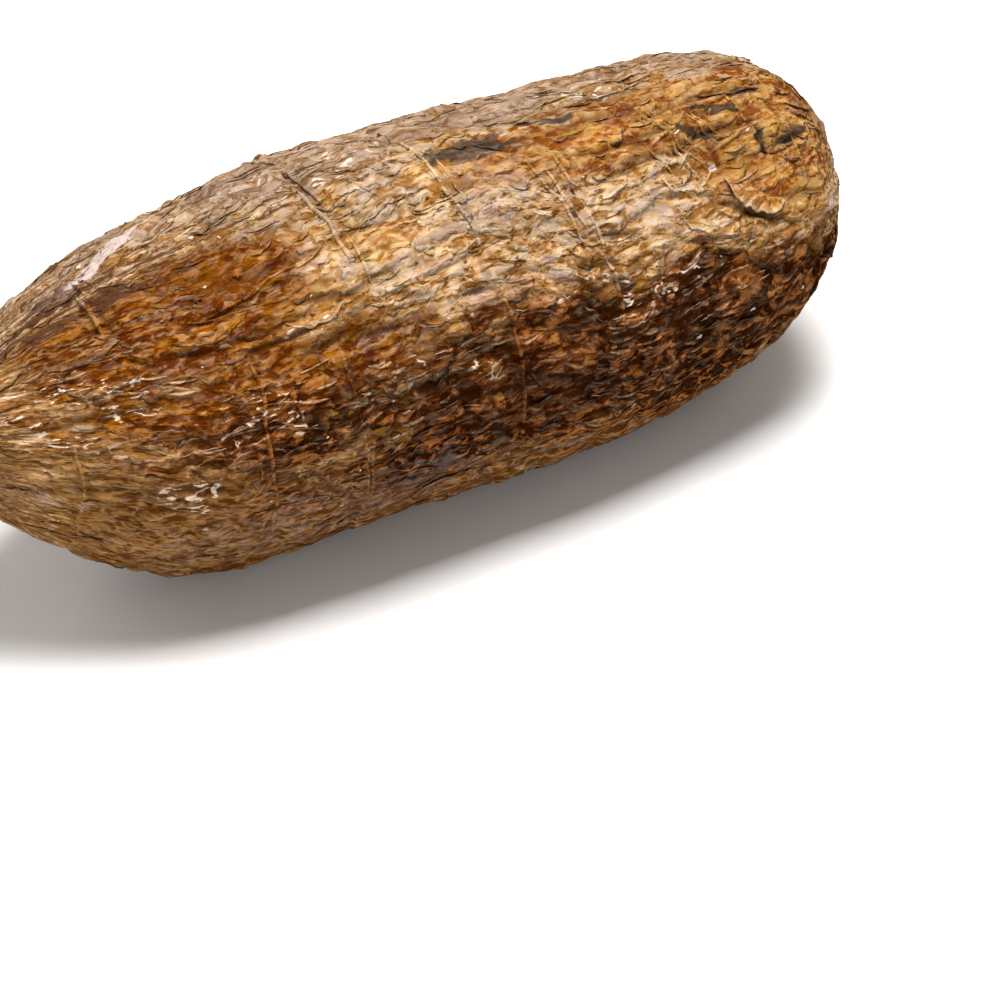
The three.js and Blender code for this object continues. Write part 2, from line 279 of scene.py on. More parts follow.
@dataclass(frozen=True)
class CoarseRelief:
    """The relief that the solid has too: lumps, long ridges with grooves between, and plates."""

    form: RootForm
    share: float = 0.5  # of the solid's ridges, whose edges finer plies break up here
    lump: float = 1.5
    lump_length: float = 58.0
    lump_around: int = 5
    groove_depth: float = 1.6
    groove_half_width: float = 0.2
    groove_length: float = 15.0
    step: float = 1.0
    step_length: float = 16.0
    crown: float = 0.45
    plate_length: float = 16.0
    plate_tilt: float = 1.3
    plate_crack: float = 0.8
    crack_width: float = 2.4

    def lumps(self, along: np.ndarray, ridge: np.ndarray) -> np.ndarray:
        """Broad swellings of the root."""
        cells = ridge * self.lump_around / self.form.ridges
        return self.lump * lattice_noise(along / self.lump_length, cells, self.lump_around, 1)

    def plate(self, along: np.ndarray, ridge: np.ndarray) -> np.ndarray:
        """Tilted plates along one ridge, each standing over the one behind it.

        Args:
            along: distance from the tail.
            ridge: number of the ridge.

        Returns:
            Their height over the ridge, with the crack at each edge.
        """
        shift = hash_of(ridge, 0, 5)

        def edge(m: np.ndarray) -> np.ndarray:
            """Where plate m of the ridge begins."""
            return (m + 0.5 * hash_of(m, ridge, 6) - shift) * self.plate_length

        m = np.floor(along / self.plate_length + shift).astype(np.int64)
        m = np.where(edge(m) > along, m - 1, m)
        m = np.where(edge(m + 1) <= along, m + 1, m)
        start, end = edge(m), edge(m + 1)
        share = (along - start) / (end - start)
        nearest = np.minimum(along - start, end - along)
        crack = self.plate_crack * np.exp(-((nearest / self.crack_width) ** 2))
        return self.plate_tilt * (0.4 + 0.6 * hash_of(m, ridge, 7)) * (0.5 - share) - crack

    def top(self, along: np.ndarray, ridge: np.ndarray) -> np.ndarray:
        """The height of a ridge's top, different from its neighbours'.

        Args:
            along: distance from the tail.
            ridge: number of the ridge.

        Returns:
            The height, with its plates.
        """
        count = self.form.ridges
        step = self.step * lattice_noise(along / self.step_length, ridge.astype(float), count, 4)
        return step + self.plate(along, ridge % count)

    def ridges(self, along: np.ndarray, ridge: np.ndarray) -> np.ndarray:
        """Ridges and the grooves between them, which come and go along the root.

        Args:
            along: distance from the tail.
            ridge: place round the girth, counted in ridges.

        Returns:
            Their height over the body.
        """
        whole = np.floor(ridge).astype(np.int64)
        share = ridge - whole
        to_groove = np.minimum(share, 1 - share)
        nearest = np.where(share < 0.5, whole, whole + 1)
        top = self.top(along, whole)
        beside = self.top(along, np.where(share < 0.5, whole - 1, whole + 1))
        presence = lattice_noise(along / self.groove_length, nearest.astype(float), self.form.ridges, 3)
        depth = self.groove_depth * ease(np.clip(0.55 + 0.9 * presence, 0, 1))
        crown = self.crown * (1 - (2 * share - 1) ** 2)
        edge = ease(np.clip(to_groove / self.groove_half_width, 0, 1))
        return ((top + beside) / 2 - depth) * (1 - edge) + (top + crown) * edge

    def height(self, along: np.ndarray, ridge: np.ndarray) -> np.ndarray:
        """The solid's relief, in millimetres above the body, with its ridges softened."""
        return self.lumps(along, ridge) + self.share * self.ridges(along, ridge)


# ---- The finer relief and the zones of the bark ----


@dataclass(frozen=True)
class Ripple:
    """Smooth noise laid out along the root, in octaves.

    Attributes:
        length: millimetres along the root to one swell of the coarsest octave.
        around: swells round the girth of that octave.
        seed: the pattern's seed.
        octaves: how many times it is repeated at half the size and half the height.
    """

    length: float
    around: int
    seed: int
    octaves: int = 1

    def __call__(self, along: np.ndarray, turn: np.ndarray) -> np.ndarray:
        """Sums the octaves.

        Args:
            along: distance from the tail.
            turn: place round the girth, as a share of a turn.

        Returns:
            The noise at each place, from about -1 to 1.
        """
        total, size = np.zeros(np.broadcast(along, turn).shape), 0.0
        for k in range(self.octaves):
            scale = 2**k
            count = self.around * scale
            total += lattice_noise(along * scale / self.length, turn * count, count, self.seed + 17 * k) / scale
            size += 1 / scale
        return total / size


@dataclass(frozen=True)
class PlyRelief:
    """Papery plies of bark, torn back one over another.

    Attributes:
        swell: the noise whose contours are the torn edges.
        count: plies between the lowest and the highest.
        thickness: height of one ply in millimetres.
        edge: share of a ply's reach that its torn edge takes up.
        lip: extra height of the curled edge, in plies.
    """

    swell: Ripple
    count: float
    thickness: float
    edge: float = 0.22
    lip: float = 0.5

    def __call__(self, along: np.ndarray, turn: np.ndarray, bias: np.ndarray) -> Samples:
        """The plies at each place.

        Args:
            along: distance from the tail.
            turn: share of a turn round the root.
            bias: raises the top ply towards 1 and bares the lowest towards -1.

        Returns:
            height in millimetres, and shares from 0 to 1: ply (how high the ply is in the stack), lip (the
            pale edge, partly a painted highlight) and the painted shade just below the edge of the ply above.
        """
        level = (0.5 + 0.62 * self.swell(along, turn) + 0.3 * bias) * self.count
        floor = np.floor(level)
        part = level - floor
        rise = smoothstep(0.0, self.edge, part)
        lip = rise * (1 - smoothstep(self.edge, 3 * self.edge, part))
        middle = self.count / 2
        height = (np.clip(floor + rise, 0, self.count) - middle + self.lip * lip) * self.thickness
        ply = np.clip((floor + rise) / self.count, 0, 1)
        return {"height": height, "ply": ply, "lip": lip, "crevice": smoothstep(1 - self.edge, 1.0, part)}


@dataclass(frozen=True)
class Mosaic:
    """Uneven cells that are long along the root, each with a tone of its own.

    Attributes:
        length: millimetres along the root to one cell.
        around: cells round the girth.
        seed: the pattern's seed.
    """

    length: float
    around: int
    seed: int

    def __call__(self, along: np.ndarray, turn: np.ndarray) -> Samples:
        """The cell at each place.

        Args:
            along: distance from the tail.
            turn: share of a turn round the root.

        Returns:
            tone: the cell's own tone from 0 to 1, side: how far round from its middle the place is, in
            cells, and inner: 0 on the cell's edge and 1 well inside it.
        """
        a, b = along / self.length, turn * self.around
        i0, j0 = np.floor(a).astype(np.int64), np.floor(b).astype(np.int64)
        shape = np.broadcast(a, b).shape
        first, second, tone, side = np.full(shape, 9.0), np.full(shape, 9.0), np.zeros(shape), np.zeros(shape)
        for di in (-1, 0, 1):
            for dj in (-1, 0, 1):
                i, j = i0 + di, (j0 + dj) % self.around
                ahead = a - (i + 0.5 + 0.85 * (hash_of(i, j, self.seed) - 0.5))
                aside = b - (j0 + dj + 0.5 + 0.85 * (hash_of(i, j, self.seed + 1) - 0.5))
                distance = np.hypot(ahead, aside)
                closer = distance < first
                second = np.where(closer, first, np.minimum(second, distance))
                first = np.where(closer, distance, first)
                tone = np.where(closer, hash_of(i, j, self.seed + 2), tone)
                side = np.where(closer, aside, side)
        return {"tone": tone, "side": side, "inner": smoothstep(0.0, 0.3, second - first)}


@dataclass(frozen=True)
class Patch:
    """A stretch of bark with a look of its own, round at its ends and ragged at its edge.

    Attributes:
        along: distance of its middle from the tail.
        angle: angle of its middle round the girth, in degrees.
        half_length: half its length along the root.
        half_width: half its width round the girth, in millimetres.
        soft: width of its edge, as a share of its size.
        slant: millimetres round the girth by which it drifts for each millimetre along.
        strength: how strong its look is.
    """

    along: float
    angle: float
    half_length: float
    half_width: float
    soft: float = 0.4
    slant: float = 0.0
    strength: float = 1.0


class Look(Enum):
    """The looks that bark can have besides its common tan and orange."""

    WAXED = "waxed"  # greyed by a coat of wax and dust, and paler along the top partly as painted sheen
    GOLDEN = "golden"  # broad golden plates
    DARK = "dark"  # dark orange brown, with curled pale edges, and low on the front partly a painted shadow
    DULL = "dull"  # smooth dull grey brown, finely wrinkled
    BARE = "bare"  # outer bark rubbed off, orange and nearly smooth
    BLACK = "black"  # blackened streaks
    PEELED = "peeled"  # peeled to the pinkish white cortex
    FROSTED = "frosted"  # wax lying white in the wrinkles, drawn partly as painted glints
    STRIPED = "striped"  # long dark and pale streaks along the root
    GRIMED = "grimed"  # a lilac grey bloom of dust
    CALM = "calm"  # broad plates with little relief
    RUDDY = "ruddy"  # deep orange where the outer bark has gone


def patches(*rows: tuple[float, ...]) -> tuple[Patch, ...]:
    """Patches from rows of their values, in the order of Patch's fields."""
    return tuple(Patch(*row) for row in rows)


PATCHES: dict[Look, tuple[Patch, ...]] = {
    Look.WAXED: patches(
        (92, 62, 85, 24, 0.5), (180, 66, 62, 20, 0.5, 0, 0.9), (147, 130, 20, 8, 0.8, 0, 0.5),
        (127, 106, 11, 6, 0.7, 0, 0.7), (90, 20, 60, 22, 0.6, 0, 0.7), (150, 345, 50, 16, 0.6, 0, 0.6),
    ),
    Look.GOLDEN: patches(
        (184, 105, 36, 13), (222, 124, 26, 26, 0.35), (97, 130, 14, 7, 0.8, 0, 0.5),
        (152, 103, 12, 5, 0.6, 0, 0.7), (28, 172, 20, 16, 0.8, 0, 0.5), (205, 30, 45, 22, 0.5, 0, 0.7),
        (60, 330, 40, 20, 0.5, 0, 0.6), (215, 300, 40, 20, 0.6, 0, 0.6),
    ),
    Look.DARK: patches(
        (152, 178, 60, 19, 0.5), (205, 186, 38, 18, 0.5), (92, 166, 34, 11, 0.8, 0, 0.7),
        (114, 188, 24, 10, 0.8, 0, 0.5), (51, 95, 26, 9, 0.6, 0, 0.35), (100, 168, 20, 9, 0.8, 0, 0.5),
        (130, 310, 60, 22, 0.6, 0, 0.6),
    ),
    Look.DULL: patches(
        (76, 206, 60, 25, 0.5), (160, 224, 90, 22, 0.5), (52, 168, 24, 9, 0.8, 0, 0.7),
        (60, 262, 60, 22, 0.6, 0, 0.7),
    ),
    Look.BARE: patches(
        (62, 120, 30, 17, 0.6), (79, 109, 20, 10, 0.6), (84, 150, 38, 11, 0.7), (28, 140, 22, 16, 0.8, 0, 0.42),
        (42, 104, 14, 9, 0.7, 0, 0.7), (48, 151, 12, 7, 0.8, 0, 0.5), (168, 330, 34, 14, 0.6, 0, 0.8),
        (70, 285, 30, 12, 0.6, 0, 0.7),
    ),
    Look.BLACK: patches(
        (149.5, 98, 12, 4.2, 0.45, 0.05), (203, 116, 6, 1.5, 0.8, 0.7), (213, 110.5, 5, 1.3, 0.8, 0.5),
        (219, 127.5, 1.2, 3.6, 0.6), (229, 129, 9, 1.8, 0.8, -0.15), (222, 107, 6, 1.3, 0.8, 0.1),
        (191, 90, 12, 1.4, 0.8), (172, 95, 9, 1.4, 0.8, 0.1), (120, 20, 16, 2.6, 0.8, 0.1),
        (90, 320, 14, 2.4, 0.8, -0.1), (225, 260, 14, 2.4, 0.8, 0.1),
    ),
    Look.PEELED: patches(
        (65, 72.5, 12, 3.8, 0.35, -0.5), (203, 130, 1.3, 1), (150, 255, 7, 2, 0.4, 0.2),
    ),
    Look.FROSTED: patches(
        (60, 180, 9, 4.5, 0.5), (38, 140, 17, 11, 0.7, 0, 0.75), (30, 152, 10, 6, 0.7, 0, 0.65),
        (112, 84, 24, 6, 0.8, 0, 0.6), (196, 84, 22, 5, 0.8, 0, 0.6), (90, 158, 34, 6, 0.9, 0, 0.4),
        (150, 160, 50, 9, 0.9, 0, 0.4),
    ),
    Look.STRIPED: patches(
        (50, 92, 30, 14, 0.5), (92, 92, 30, 8, 0.6, 0, 0.8), (26, 160, 24, 30, 0.6, 0, 0.3),
        (50, 290, 50, 30, 0.6, 0, 0.7), (170, 20, 50, 18, 0.6, 0, 0.6),
    ),
    Look.GRIMED: patches(
        (140, 72, 110, 14, 0.6, 0, 0.6), (150, 112, 14, 9, 0.9, 0, 0.6), (116, 148, 16, 7, 0.9, 0, 0.4),
        (176, 152, 14, 6, 0.9, 0, 0.4), (96, 205, 50, 14, 0.7, 0, 0.5), (180, 260, 50, 24, 0.7, 0, 0.7),
    ),
    Look.CALM: patches(
        (106, 118, 9, 7, 0.5), (122, 124, 10, 6, 0.5), (142, 104, 8, 4, 0.5), (199, 134, 9, 5), (197, 147, 11, 5),
        (216, 141, 8, 7, 0.5), (228, 118, 7, 6, 0.5), (180, 104, 12, 5, 0.5), (180, 137, 12, 7, 0.6, 0, 0.7),
        (120, 232, 60, 12, 0.6, 0, 0.7), (160, 320, 24, 12, 0.6, 0, 0.7),
    ),
    Look.RUDDY: patches(
        (82, 112, 10, 4, 0.8), (70, 140, 26, 7, 0.9, 0, 0.4), (206, 110, 12, 4, 0.9, 0, 0.3),
        (214, 166, 18, 8, 0.9, 0, 0.4), (140, 168, 40, 8, 0.9, 0, 0.4), (150, 300, 60, 20, 0.9, 0, 0.6),
    ),
}


# Low swellings of the body: the strength of each patch is its height in millimetres.
SWELLS = patches(
    (80, 55, 34, 26, 1, 0, 1.5), (36, 215, 20, 22, 1, 0, 1.7), (66, 214, 12, 20, 1, 0, -1.3),
    (22, 78, 20, 26, 1, 0, -2.4),
)


# Bark that is paler than its zone, or darker where the strength is negative: partly the bark's own
# tone, partly painted light and shade where the root is lit or shaded.
TONES = patches(
    (165, 132, 36, 10, 0.8, 0, 0.4), (58, 204, 30, 16, 0.8, 0, 0.75), (104, 198, 24, 10, 0.8, 0, -0.3),
    (33, 178, 18, 16, 0.8, 0, 0.45), (226, 155, 16, 10, 0.8, 0, 0.3), (222, 124, 24, 18, 0.8, 0, 0.2),
    (26, 140, 16, 14, 0.8, 0, 0.25), (120, 70, 90, 14, 0.8, 0, 0.2), (92, 138, 14, 10, 0.8, 0, 0.2),
    (59, 95, 22, 8, 0.8, 0, -0.3), (52, 180, 16, 8, 0.8, 0, 0.3), (48, 84, 18, 6, 0.8, 0, -0.35),
    (84, 156, 14, 7, 0.8, 0, 0.3), (84, 106, 10, 6, 0.8, 0, 0.3), (217, 122, 12, 8, 0.8, 0, 0.3),
    (140, 125, 14, 8, 0.8, 0, 0.35), (116, 76, 24, 8, 0.8, 0, 0.3), (214, 142, 10, 6, 0.8, 0, -0.25),
    (165, 192, 50, 10, 0.8, 0, -0.25), (120, 320, 50, 14, 0.8, 0, 0.3), (190, 290, 40, 14, 0.8, 0, -0.3),
)


# Deep gaps that open between plates: the strength of each patch is its depth in millimetres.
GAPS = patches(
    (209.5, 149, 9.5, 1.2, 0.4, 0.6, 1.8), (194.5, 136.5, 6.5, 0.8, 0.5, 0.25), (194, 151.5, 7, 0.8, 0.5, 0.2),
    (219, 127, 1.3, 3.4, 0.5, 0, 1.2), (228.5, 130, 7, 0.8, 0.5, -0.1), (226.5, 126.5, 6, 0.7, 0.5, -0.1, 0.9),
    (201, 104, 7, 0.8, 0.5, -0.1, 0.9), (208, 110, 5, 0.7, 0.5, 0.3, 0.9), (184, 99, 9, 0.7, 0.5, 0.05, 0.8),
    (173, 141, 4.5, 0.9, 0.5, 0.3, 1.1), (164, 147, 5, 0.9, 0.5, 0.1), (135, 143, 5, 0.8, 0.5, 0.1),
    (121, 138, 4, 0.8, 0.5, 0.2, 0.9), (113, 129, 7, 0.8, 0.5, -0.15), (98, 142, 8, 0.9, 0.5, -0.1, 1.1),
    (89, 113, 12, 0.8, 0.5, 0.05, 1.1), (75, 121, 6, 0.8, 0.5, 0, 0.8), (66, 130, 5, 0.9, 0.5, 0.2, 0.8),
    (57, 96, 12, 0.8, 0.5, 0.1, 0.9), (72.6, 113.5, 5, 0.9, 0.5, -0.2, 1.1), (88, 136, 9.5, 0.9, 0.5, 0, 1.2),
    (100, 128.5, 7, 0.9, 0.5, 0.2), (112.5, 92, 1, 8, 0.5, 0, 0.8), (53.6, 106, 0.9, 6, 0.5, 0, 0.8),
    (212, 118, 9, 1, 0.5, 0.1, 1.1), (190, 112, 8, 0.9, 0.5, -0.1), (199, 119, 6, 0.9, 0.5, -0.3),
    (176, 112, 7, 0.8, 0.5, 0.1, 0.9), (184, 120, 6, 0.8, 0.5, -0.2, 0.9), (205, 126, 0.9, 4.5, 0.5, 0, 0.9),
    (215, 104, 7, 0.9, 0.5, 0.1), (150, 21, 9, 0.9, 0.5, 0.1), (70, 18, 8, 0.9, 0.5, -0.1),
    (190, 330, 9, 0.9, 0.5, 0.1, 1.1), (120, 290, 10, 0.9, 0.5, -0.1), (60, 300, 9, 0.9, 0.5, 0.1),
    (210, 240, 8, 0.9, 0.5, 0.2), (130, 0, 8, 0.9, 0.5, 0.1),
)

# Where the outer bark has dried into pale curls.
CURLED = patches(
    (152, 172, 62, 17, 0.5, 0, 0.8), (210, 178, 40, 16, 0.5, 0, 0.3), (80, 160, 46, 10, 0.7, 0, 0.5),
    (32, 136, 24, 18, 0.8), (190, 80, 56, 11, 0.7, 0, 0.5), (110, 82, 40, 8, 0.7, 0, 0.4),
    (140, 310, 70, 24, 0.7, 0, 0.6),
)


@dataclass(frozen=True)
class Thread:
    """A raised thread of bark: a growth ring's trace across the root, or a peel's rolled edge along it.

    Attributes:
        start: distance from the tail of its first end, and the ridge there.
        end: the same of its other end.
        thick: half its thickness.
        whole: how little it is worn through, from 0 to 1.
    """

    start: Pair
    end: Pair
    thick: float = 0.5
    whole: float = 0.0

    def path(self, form: RootForm, number: int, spacing: float = 0.9, stray: float = 0.8) -> tuple:
        """The points that it runs through.

        Args:
            form: the root's form.
            number: its number in the table, which gives it a wander of its own.
            spacing: distance between points.
            stray: how far it wanders.

        Returns:
            The points' distances from the tail and their ridges.
        """
        (along, ridge), (last_along, last_ridge) = self.start, self.end
        across = 2 * np.pi * form.radius(np.array([along]))[0] / form.ridges
        count = int(np.hypot(last_along - along, (last_ridge - ridge) * across) / spacing) + 2
        share = np.linspace(0, 1, count)
        wander = lattice_noise(share * count * spacing / 6.0, np.full(count, float(number)), 64, 130)
        bow = lattice_noise(share * count * spacing / 6.0, np.full(count, float(number)), 64, 132) / across
        return (
            along + (last_along - along) * share + stray * wander,
            ridge + (last_ridge - ridge) * share + stray * bow,
        )


RINGS = (
    (39, 7.5, 12.5), (54, 4, 7.5), (78, 8.5, 15), (100, 9, 13), (113, 2, 8), (140, 4, 12.5), (167, 6, 10),
    (197, 5, 8.5), (221, 13, 20),
)

# Growth rings first, from their distance from the tail and the ridges between which they stand up, then shorter
# threads, from the distance and the ridge of each end.
THREADS = (
    *(Thread((at, start), (at, end)) for at, start, end in RINGS),
    *(Thread(*row) for row in (
        ((111, 5.3), (110.2, 7.4), 0.6, 0.9), ((52, 5.7), (51.4, 7.3), 0.6, 0.9),
        ((141.9, 5.6), (141.6, 7.4), 0.35), ((55.3, 4.6), (55.6, 6.6), 0.35), ((102, 9.6), (101.4, 12.4), 0.35),
        ((193.8, 5.7), (200, 7.6), 0.45, 0.9), ((195.8, 5.8), (201.8, 7.4), 0.35, 0.7),
        ((202.8, 6.2), (207.8, 7.5), 0.45, 0.9), ((204.6, 6.3), (209.4, 7.4), 0.35, 0.7),
        ((215.5, 6.3), (218.8, 8.1), 0.45, 0.9), ((181.2, 7), (184, 8), 0.45), ((189, 6.7), (192.2, 7.6), 0.45),
        ((161, 6.3), (163, 8.4), 0.45, 0.7), ((163, 6.4), (164.8, 8.2), 0.45), ((228, 5), (229, 8.6), 0.4),
        ((189.2, 6.8), (205.8, 6.4), 0.5, 0.8), ((205, 7.5), (217.2, 7.4), 0.55, 0.9),
        ((193, 7.5), (200.4, 7.2), 0.5), ((172, 5.9), (186, 5.7), 0.45), ((73, 6.9), (101, 6.6), 0.4),
        ((66, 6.9), (92, 7.2), 0.35), ((62, 6.5), (81, 6.3), 0.35), ((58, 6), (72, 5.8), 0.4),
        ((104, 8.1), (118, 7.9), 0.4), ((126, 14), (127, 21), 0.4), ((66, 14.5), (65, 19), 0.4),
        ((184, 15), (186, 24), 0.45), ((90, 19), (91, 25), 0.4), ((206, 20), (205, 26), 0.4),
        ((140, 18), (166, 17.6), 0.5), ((196, 22), (214, 22.4), 0.5), ((70, 21), (96, 20.6), 0.45),
        ((150, 1), (172, 1.4), 0.5),
    )),
)


@dataclass(frozen=True)
class FineBark:
    """The relief that is finer than the solid's, and what each place of the bark looks like."""

    form: RootForm
    coarse: CoarseRelief
    girth_radius: float = 42.0  # turns angles to millimetres round the girth
    sunk: float = 0.9  # mean depth of the bark below the form's outline
    mosaic: Mosaic = Mosaic(11.0, 62, 40)
    plate_step: float = 0.5  # greatest difference in height between neighbouring cells of the mosaic
    plate_tilt: float = 0.7  # height of a cell's free edge over its held edge
    wide_plies: PlyRelief = PlyRelief(Ripple(34.0, 30, 60, 4), 5, 0.22)
    fine_plies: PlyRelief = PlyRelief(Ripple(13.0, 66, 65, 3), 4, 0.08)
    wrinkle: Ripple = Ripple(6.0, 84, 70, 2)
    fine_wrinkle: Ripple = Ripple(3.6, 120, 80, 1)
    crinkle: Ripple = Ripple(4.5, 78, 85, 2)
    split: Ripple = Ripple(42.0, 60, 75, 2)
    split_depth: float = 0.35
    gutter_depth: float = 0.25  # of the groove on each side of a thread
    warp_long: Ripple = Ripple(14.0, 26, 90, 2)
    warp_round: Ripple = Ripple(17.0, 24, 95, 2)

    def thread_distance(self, along: np.ndarray, ridge: np.ndarray) -> np.ndarray:
        """How far each place is from the nearest thread.

        Args:
            along: distance from the tail.
            ridge: place round the girth, counted in ridges.

        Returns:
            The distance in millimetres, or 9 where no thread is near.
        """
        along, ridge = np.broadcast_arrays(along, ridge)
        across = 2 * np.pi * self.form.radius(along) / self.form.ridges
        nearest = np.full(along.shape, 9.0)
        for number, thread in enumerate(THREADS):
            run, turn = thread.path(self.form, number)
            for lap in (-self.form.ridges, 0, self.form.ridges):
                beside = (along > run.min() - 3) & (along < run.max() + 3)
                beside &= (ridge > turn.min() + lap - 1) & (ridge < turn.max() + lap + 1)
                ahead = along[beside][:, None] - run
                aside = (ridge[beside][:, None] - turn - lap) * across[beside][:, None]
                if ahead.size:
                    nearest[beside] = np.minimum(nearest[beside], np.hypot(ahead, aside).min(axis=1))
        return nearest

    def look(self, look: Look, along: np.ndarray, angle: np.ndarray, fray: np.ndarray) -> np.ndarray:
        """How strongly each place has a look, from 0 to 1.

        Args:
            look: the look.
            along: distance from the tail.
            angle: angle round the girth, in radians.
            fray: noise that makes the edges ragged.

        Returns:
            One number for each place.
        """
        return np.maximum.reduce([self.patch(patch, along, angle, fray) for patch in PATCHES[look]])

    def patch(self, patch: Patch, along: np.ndarray, angle: np.ndarray, fray: np.ndarray | float = 0.0) -> np.ndarray:
        """How strongly each place belongs to one patch.

        Args:
            patch: the patch.
            along: distance from the tail.
            angle: angle round the girth, in radians.
            fray: noise that makes the edge ragged.

        Returns:
            One number for each place, up to the patch's own strength.
        """
        turn = np.mod(angle - np.radians(patch.angle) + np.pi, 2 * np.pi) - np.pi
        ahead = along - patch.along
        aside = turn * self.girth_radius - patch.slant * ahead
        reach = np.hypot(ahead / patch.half_length, aside / patch.half_width) + 0.45 * fray
        return patch.strength * (1 - smoothstep(1 - patch.soft, 1 + patch.soft, reach))

    def sample(self, along: np.ndarray, ridge: np.ndarray) -> Samples:
        """The bark at each place.

        Args:
            along: distance from the tail.
            ridge: place round the girth, in ridges.

        Returns:
            height: relief over the body in millimetres. The rest are shares from 0 to 1: one for
                each Look, and outer (torn outer bark is left on), crack (painted shade in cracks, grooves, valleys
                and gaps), lip (pale torn edges, partly painted highlight) and tone.
        """
        turn = ridge / self.form.ridges
        angle = self.form.angle(along, ridge)
        fray = Ripple(16.0, 18, 100, 4)(along, turn)
        looks = {look.value: self.look(look, along, angle, fray) for look in Look}
        dull, bare = looks["dull"], looks["bare"]
        rough = (1 - 0.6 * np.clip(dull + bare, 0, 1)) * (1 - 0.5 * looks["calm"] - 0.15 * looks["golden"])

        bent = along + 3.2 * self.warp_long(along, turn)
        bent_turn = turn + 1.9 * self.warp_round(along, turn) / (2 * np.pi * self.girth_radius)
        wide = self.wide_plies(bent, bent_turn, 0.4 * looks["golden"] + 0.3 * looks["calm"] - bare)
        fine = self.fine_plies(bent, bent_turn, -0.4 * bare)
        crease = 1 - np.abs(self.wrinkle(bent, bent_turn))
        fold = 1 - np.abs(self.fine_wrinkle(bent, bent_turn))
        splits = np.exp(-((self.split(bent, bent_turn) / 0.2) ** 2))
        splits = splits * smoothstep(0.0, 0.3, Ripple(38.0, 20, 110, 2)(along, turn)) * (1 - 0.7 * dull)
        cell = self.mosaic(bent, bent_turn)
        plates = (self.plate_step * (cell["tone"] - 0.5) + self.plate_tilt * cell["side"]) * cell["inner"]
        height = (wide["height"] + fine["height"] + plates) * rough - self.split_depth * splits
        height += 0.16 * (crease**2 - 0.5) * (1 - 0.5 * bare) + 0.12 * (fold**2 - 0.5)
        height += 0.3 * dull * self.crinkle(bent, bent_turn)
        height -= 0.6 * np.clip(looks["peeled"] * 1.4, 0, 1)
        gutter = np.exp(-(((self.thread_distance(along, ridge) - 1.2) / 0.55) ** 2))
        gaps = sum(self.patch(gap, along, angle, 0.5 * fray) for gap in GAPS)
        height -= self.gutter_depth * gutter + gaps

        # Painted shade: grooves, wrinkle valleys, splits, the gutters beside threads and deep gaps darken the bark's
        # colour through the crack share.
        grooves = smoothstep(0.2, 1.5, -self.coarse.ridges(along, ridge))
        valleys = smoothstep(0.45, 0.2, crease)
        crack = np.maximum(wide["crevice"], 0.7 * fine["crevice"]) * rough + 0.4 * valleys
        crack = np.maximum(crack, np.maximum(0.8 * splits, 0.75 * gutter)) + 1.3 * gaps
        crack = np.maximum(crack, 0.55 * (1 - cell["inner"]) * rough)
        shares = {
            "outer": wide["ply"],
            "crack": np.clip(np.maximum(crack, 0.6 * grooves), 0, 1),
            "lip": np.clip(np.maximum(wide["lip"], 0.6 * fine["lip"]) * rough, 0, 1),
            "tone": cell["tone"] + sum(self.patch(patch, along, angle, 0.5 * fray) for patch in TONES),
        }
        height = self.form.strength(along) * (self.coarse.height(along, ridge) + height - self.sunk)
        height += sum(self.patch(swell, along, angle) for swell in SWELLS)
        return {"height": height, **looks, **shares}


# ---- Finishes ----


# Colour attributes of the bark, and the four shares that each one carries. The crack share is painted shade and the
# lip share partly a painted highlight.
CHANNELS: dict[str, tuple[str, str, str, str]] = {
    "looks": ("waxed", "golden", "dark", "dull"),
    "marks": ("black", "peeled", "frosted", "bare"),
    "layers": ("outer", "crack", "lip", "tone"),
    "cast": ("striped", "grimed", "calm", "ruddy"),
}

# Blender's names for the nodes that are used most, some with the settings that go with them.
MATH, VECTOR, MIX = "ShaderNodeMath", "ShaderNodeVectorMath", "ShaderNodeMix"
NOISE, RANGE, MAPPING = "ShaderNodeTexNoise", "ShaderNodeMapRange", "ShaderNodeMapping"
CELLS, ATTRIBUTE = "ShaderNodeTexVoronoi", "ShaderNodeAttribute"
NAMED, STORE = "GeometryNodeInputNamedAttribute", "GeometryNodeStoreNamedAttribute"
SET_POSITION = "GeometryNodeSetPosition"
ADD, SUBTRACT, MULTIPLY = (f"{MATH}:operation={name}" for name in ("ADD", "SUBTRACT", "MULTIPLY"))
MULTIPLY_ADD, MAXIMUM = (f"{MATH}:operation={name}" for name in ("MULTIPLY_ADD", "MAXIMUM"))
SMOOTH = f"{RANGE}:interpolation_type=SMOOTHSTEP"
BLEND = f"{MIX}:data_type=RGBA"


@dataclass(frozen=True)
class Shades:
    """A patch of bark's colours, from its hollows to its crests, and how pale its torn edges are. Where hollow and
    crest follow the relief, their colours are painted shade and painted light.
    """

    hollow: str
    body: str
    crest: str
    edge: float


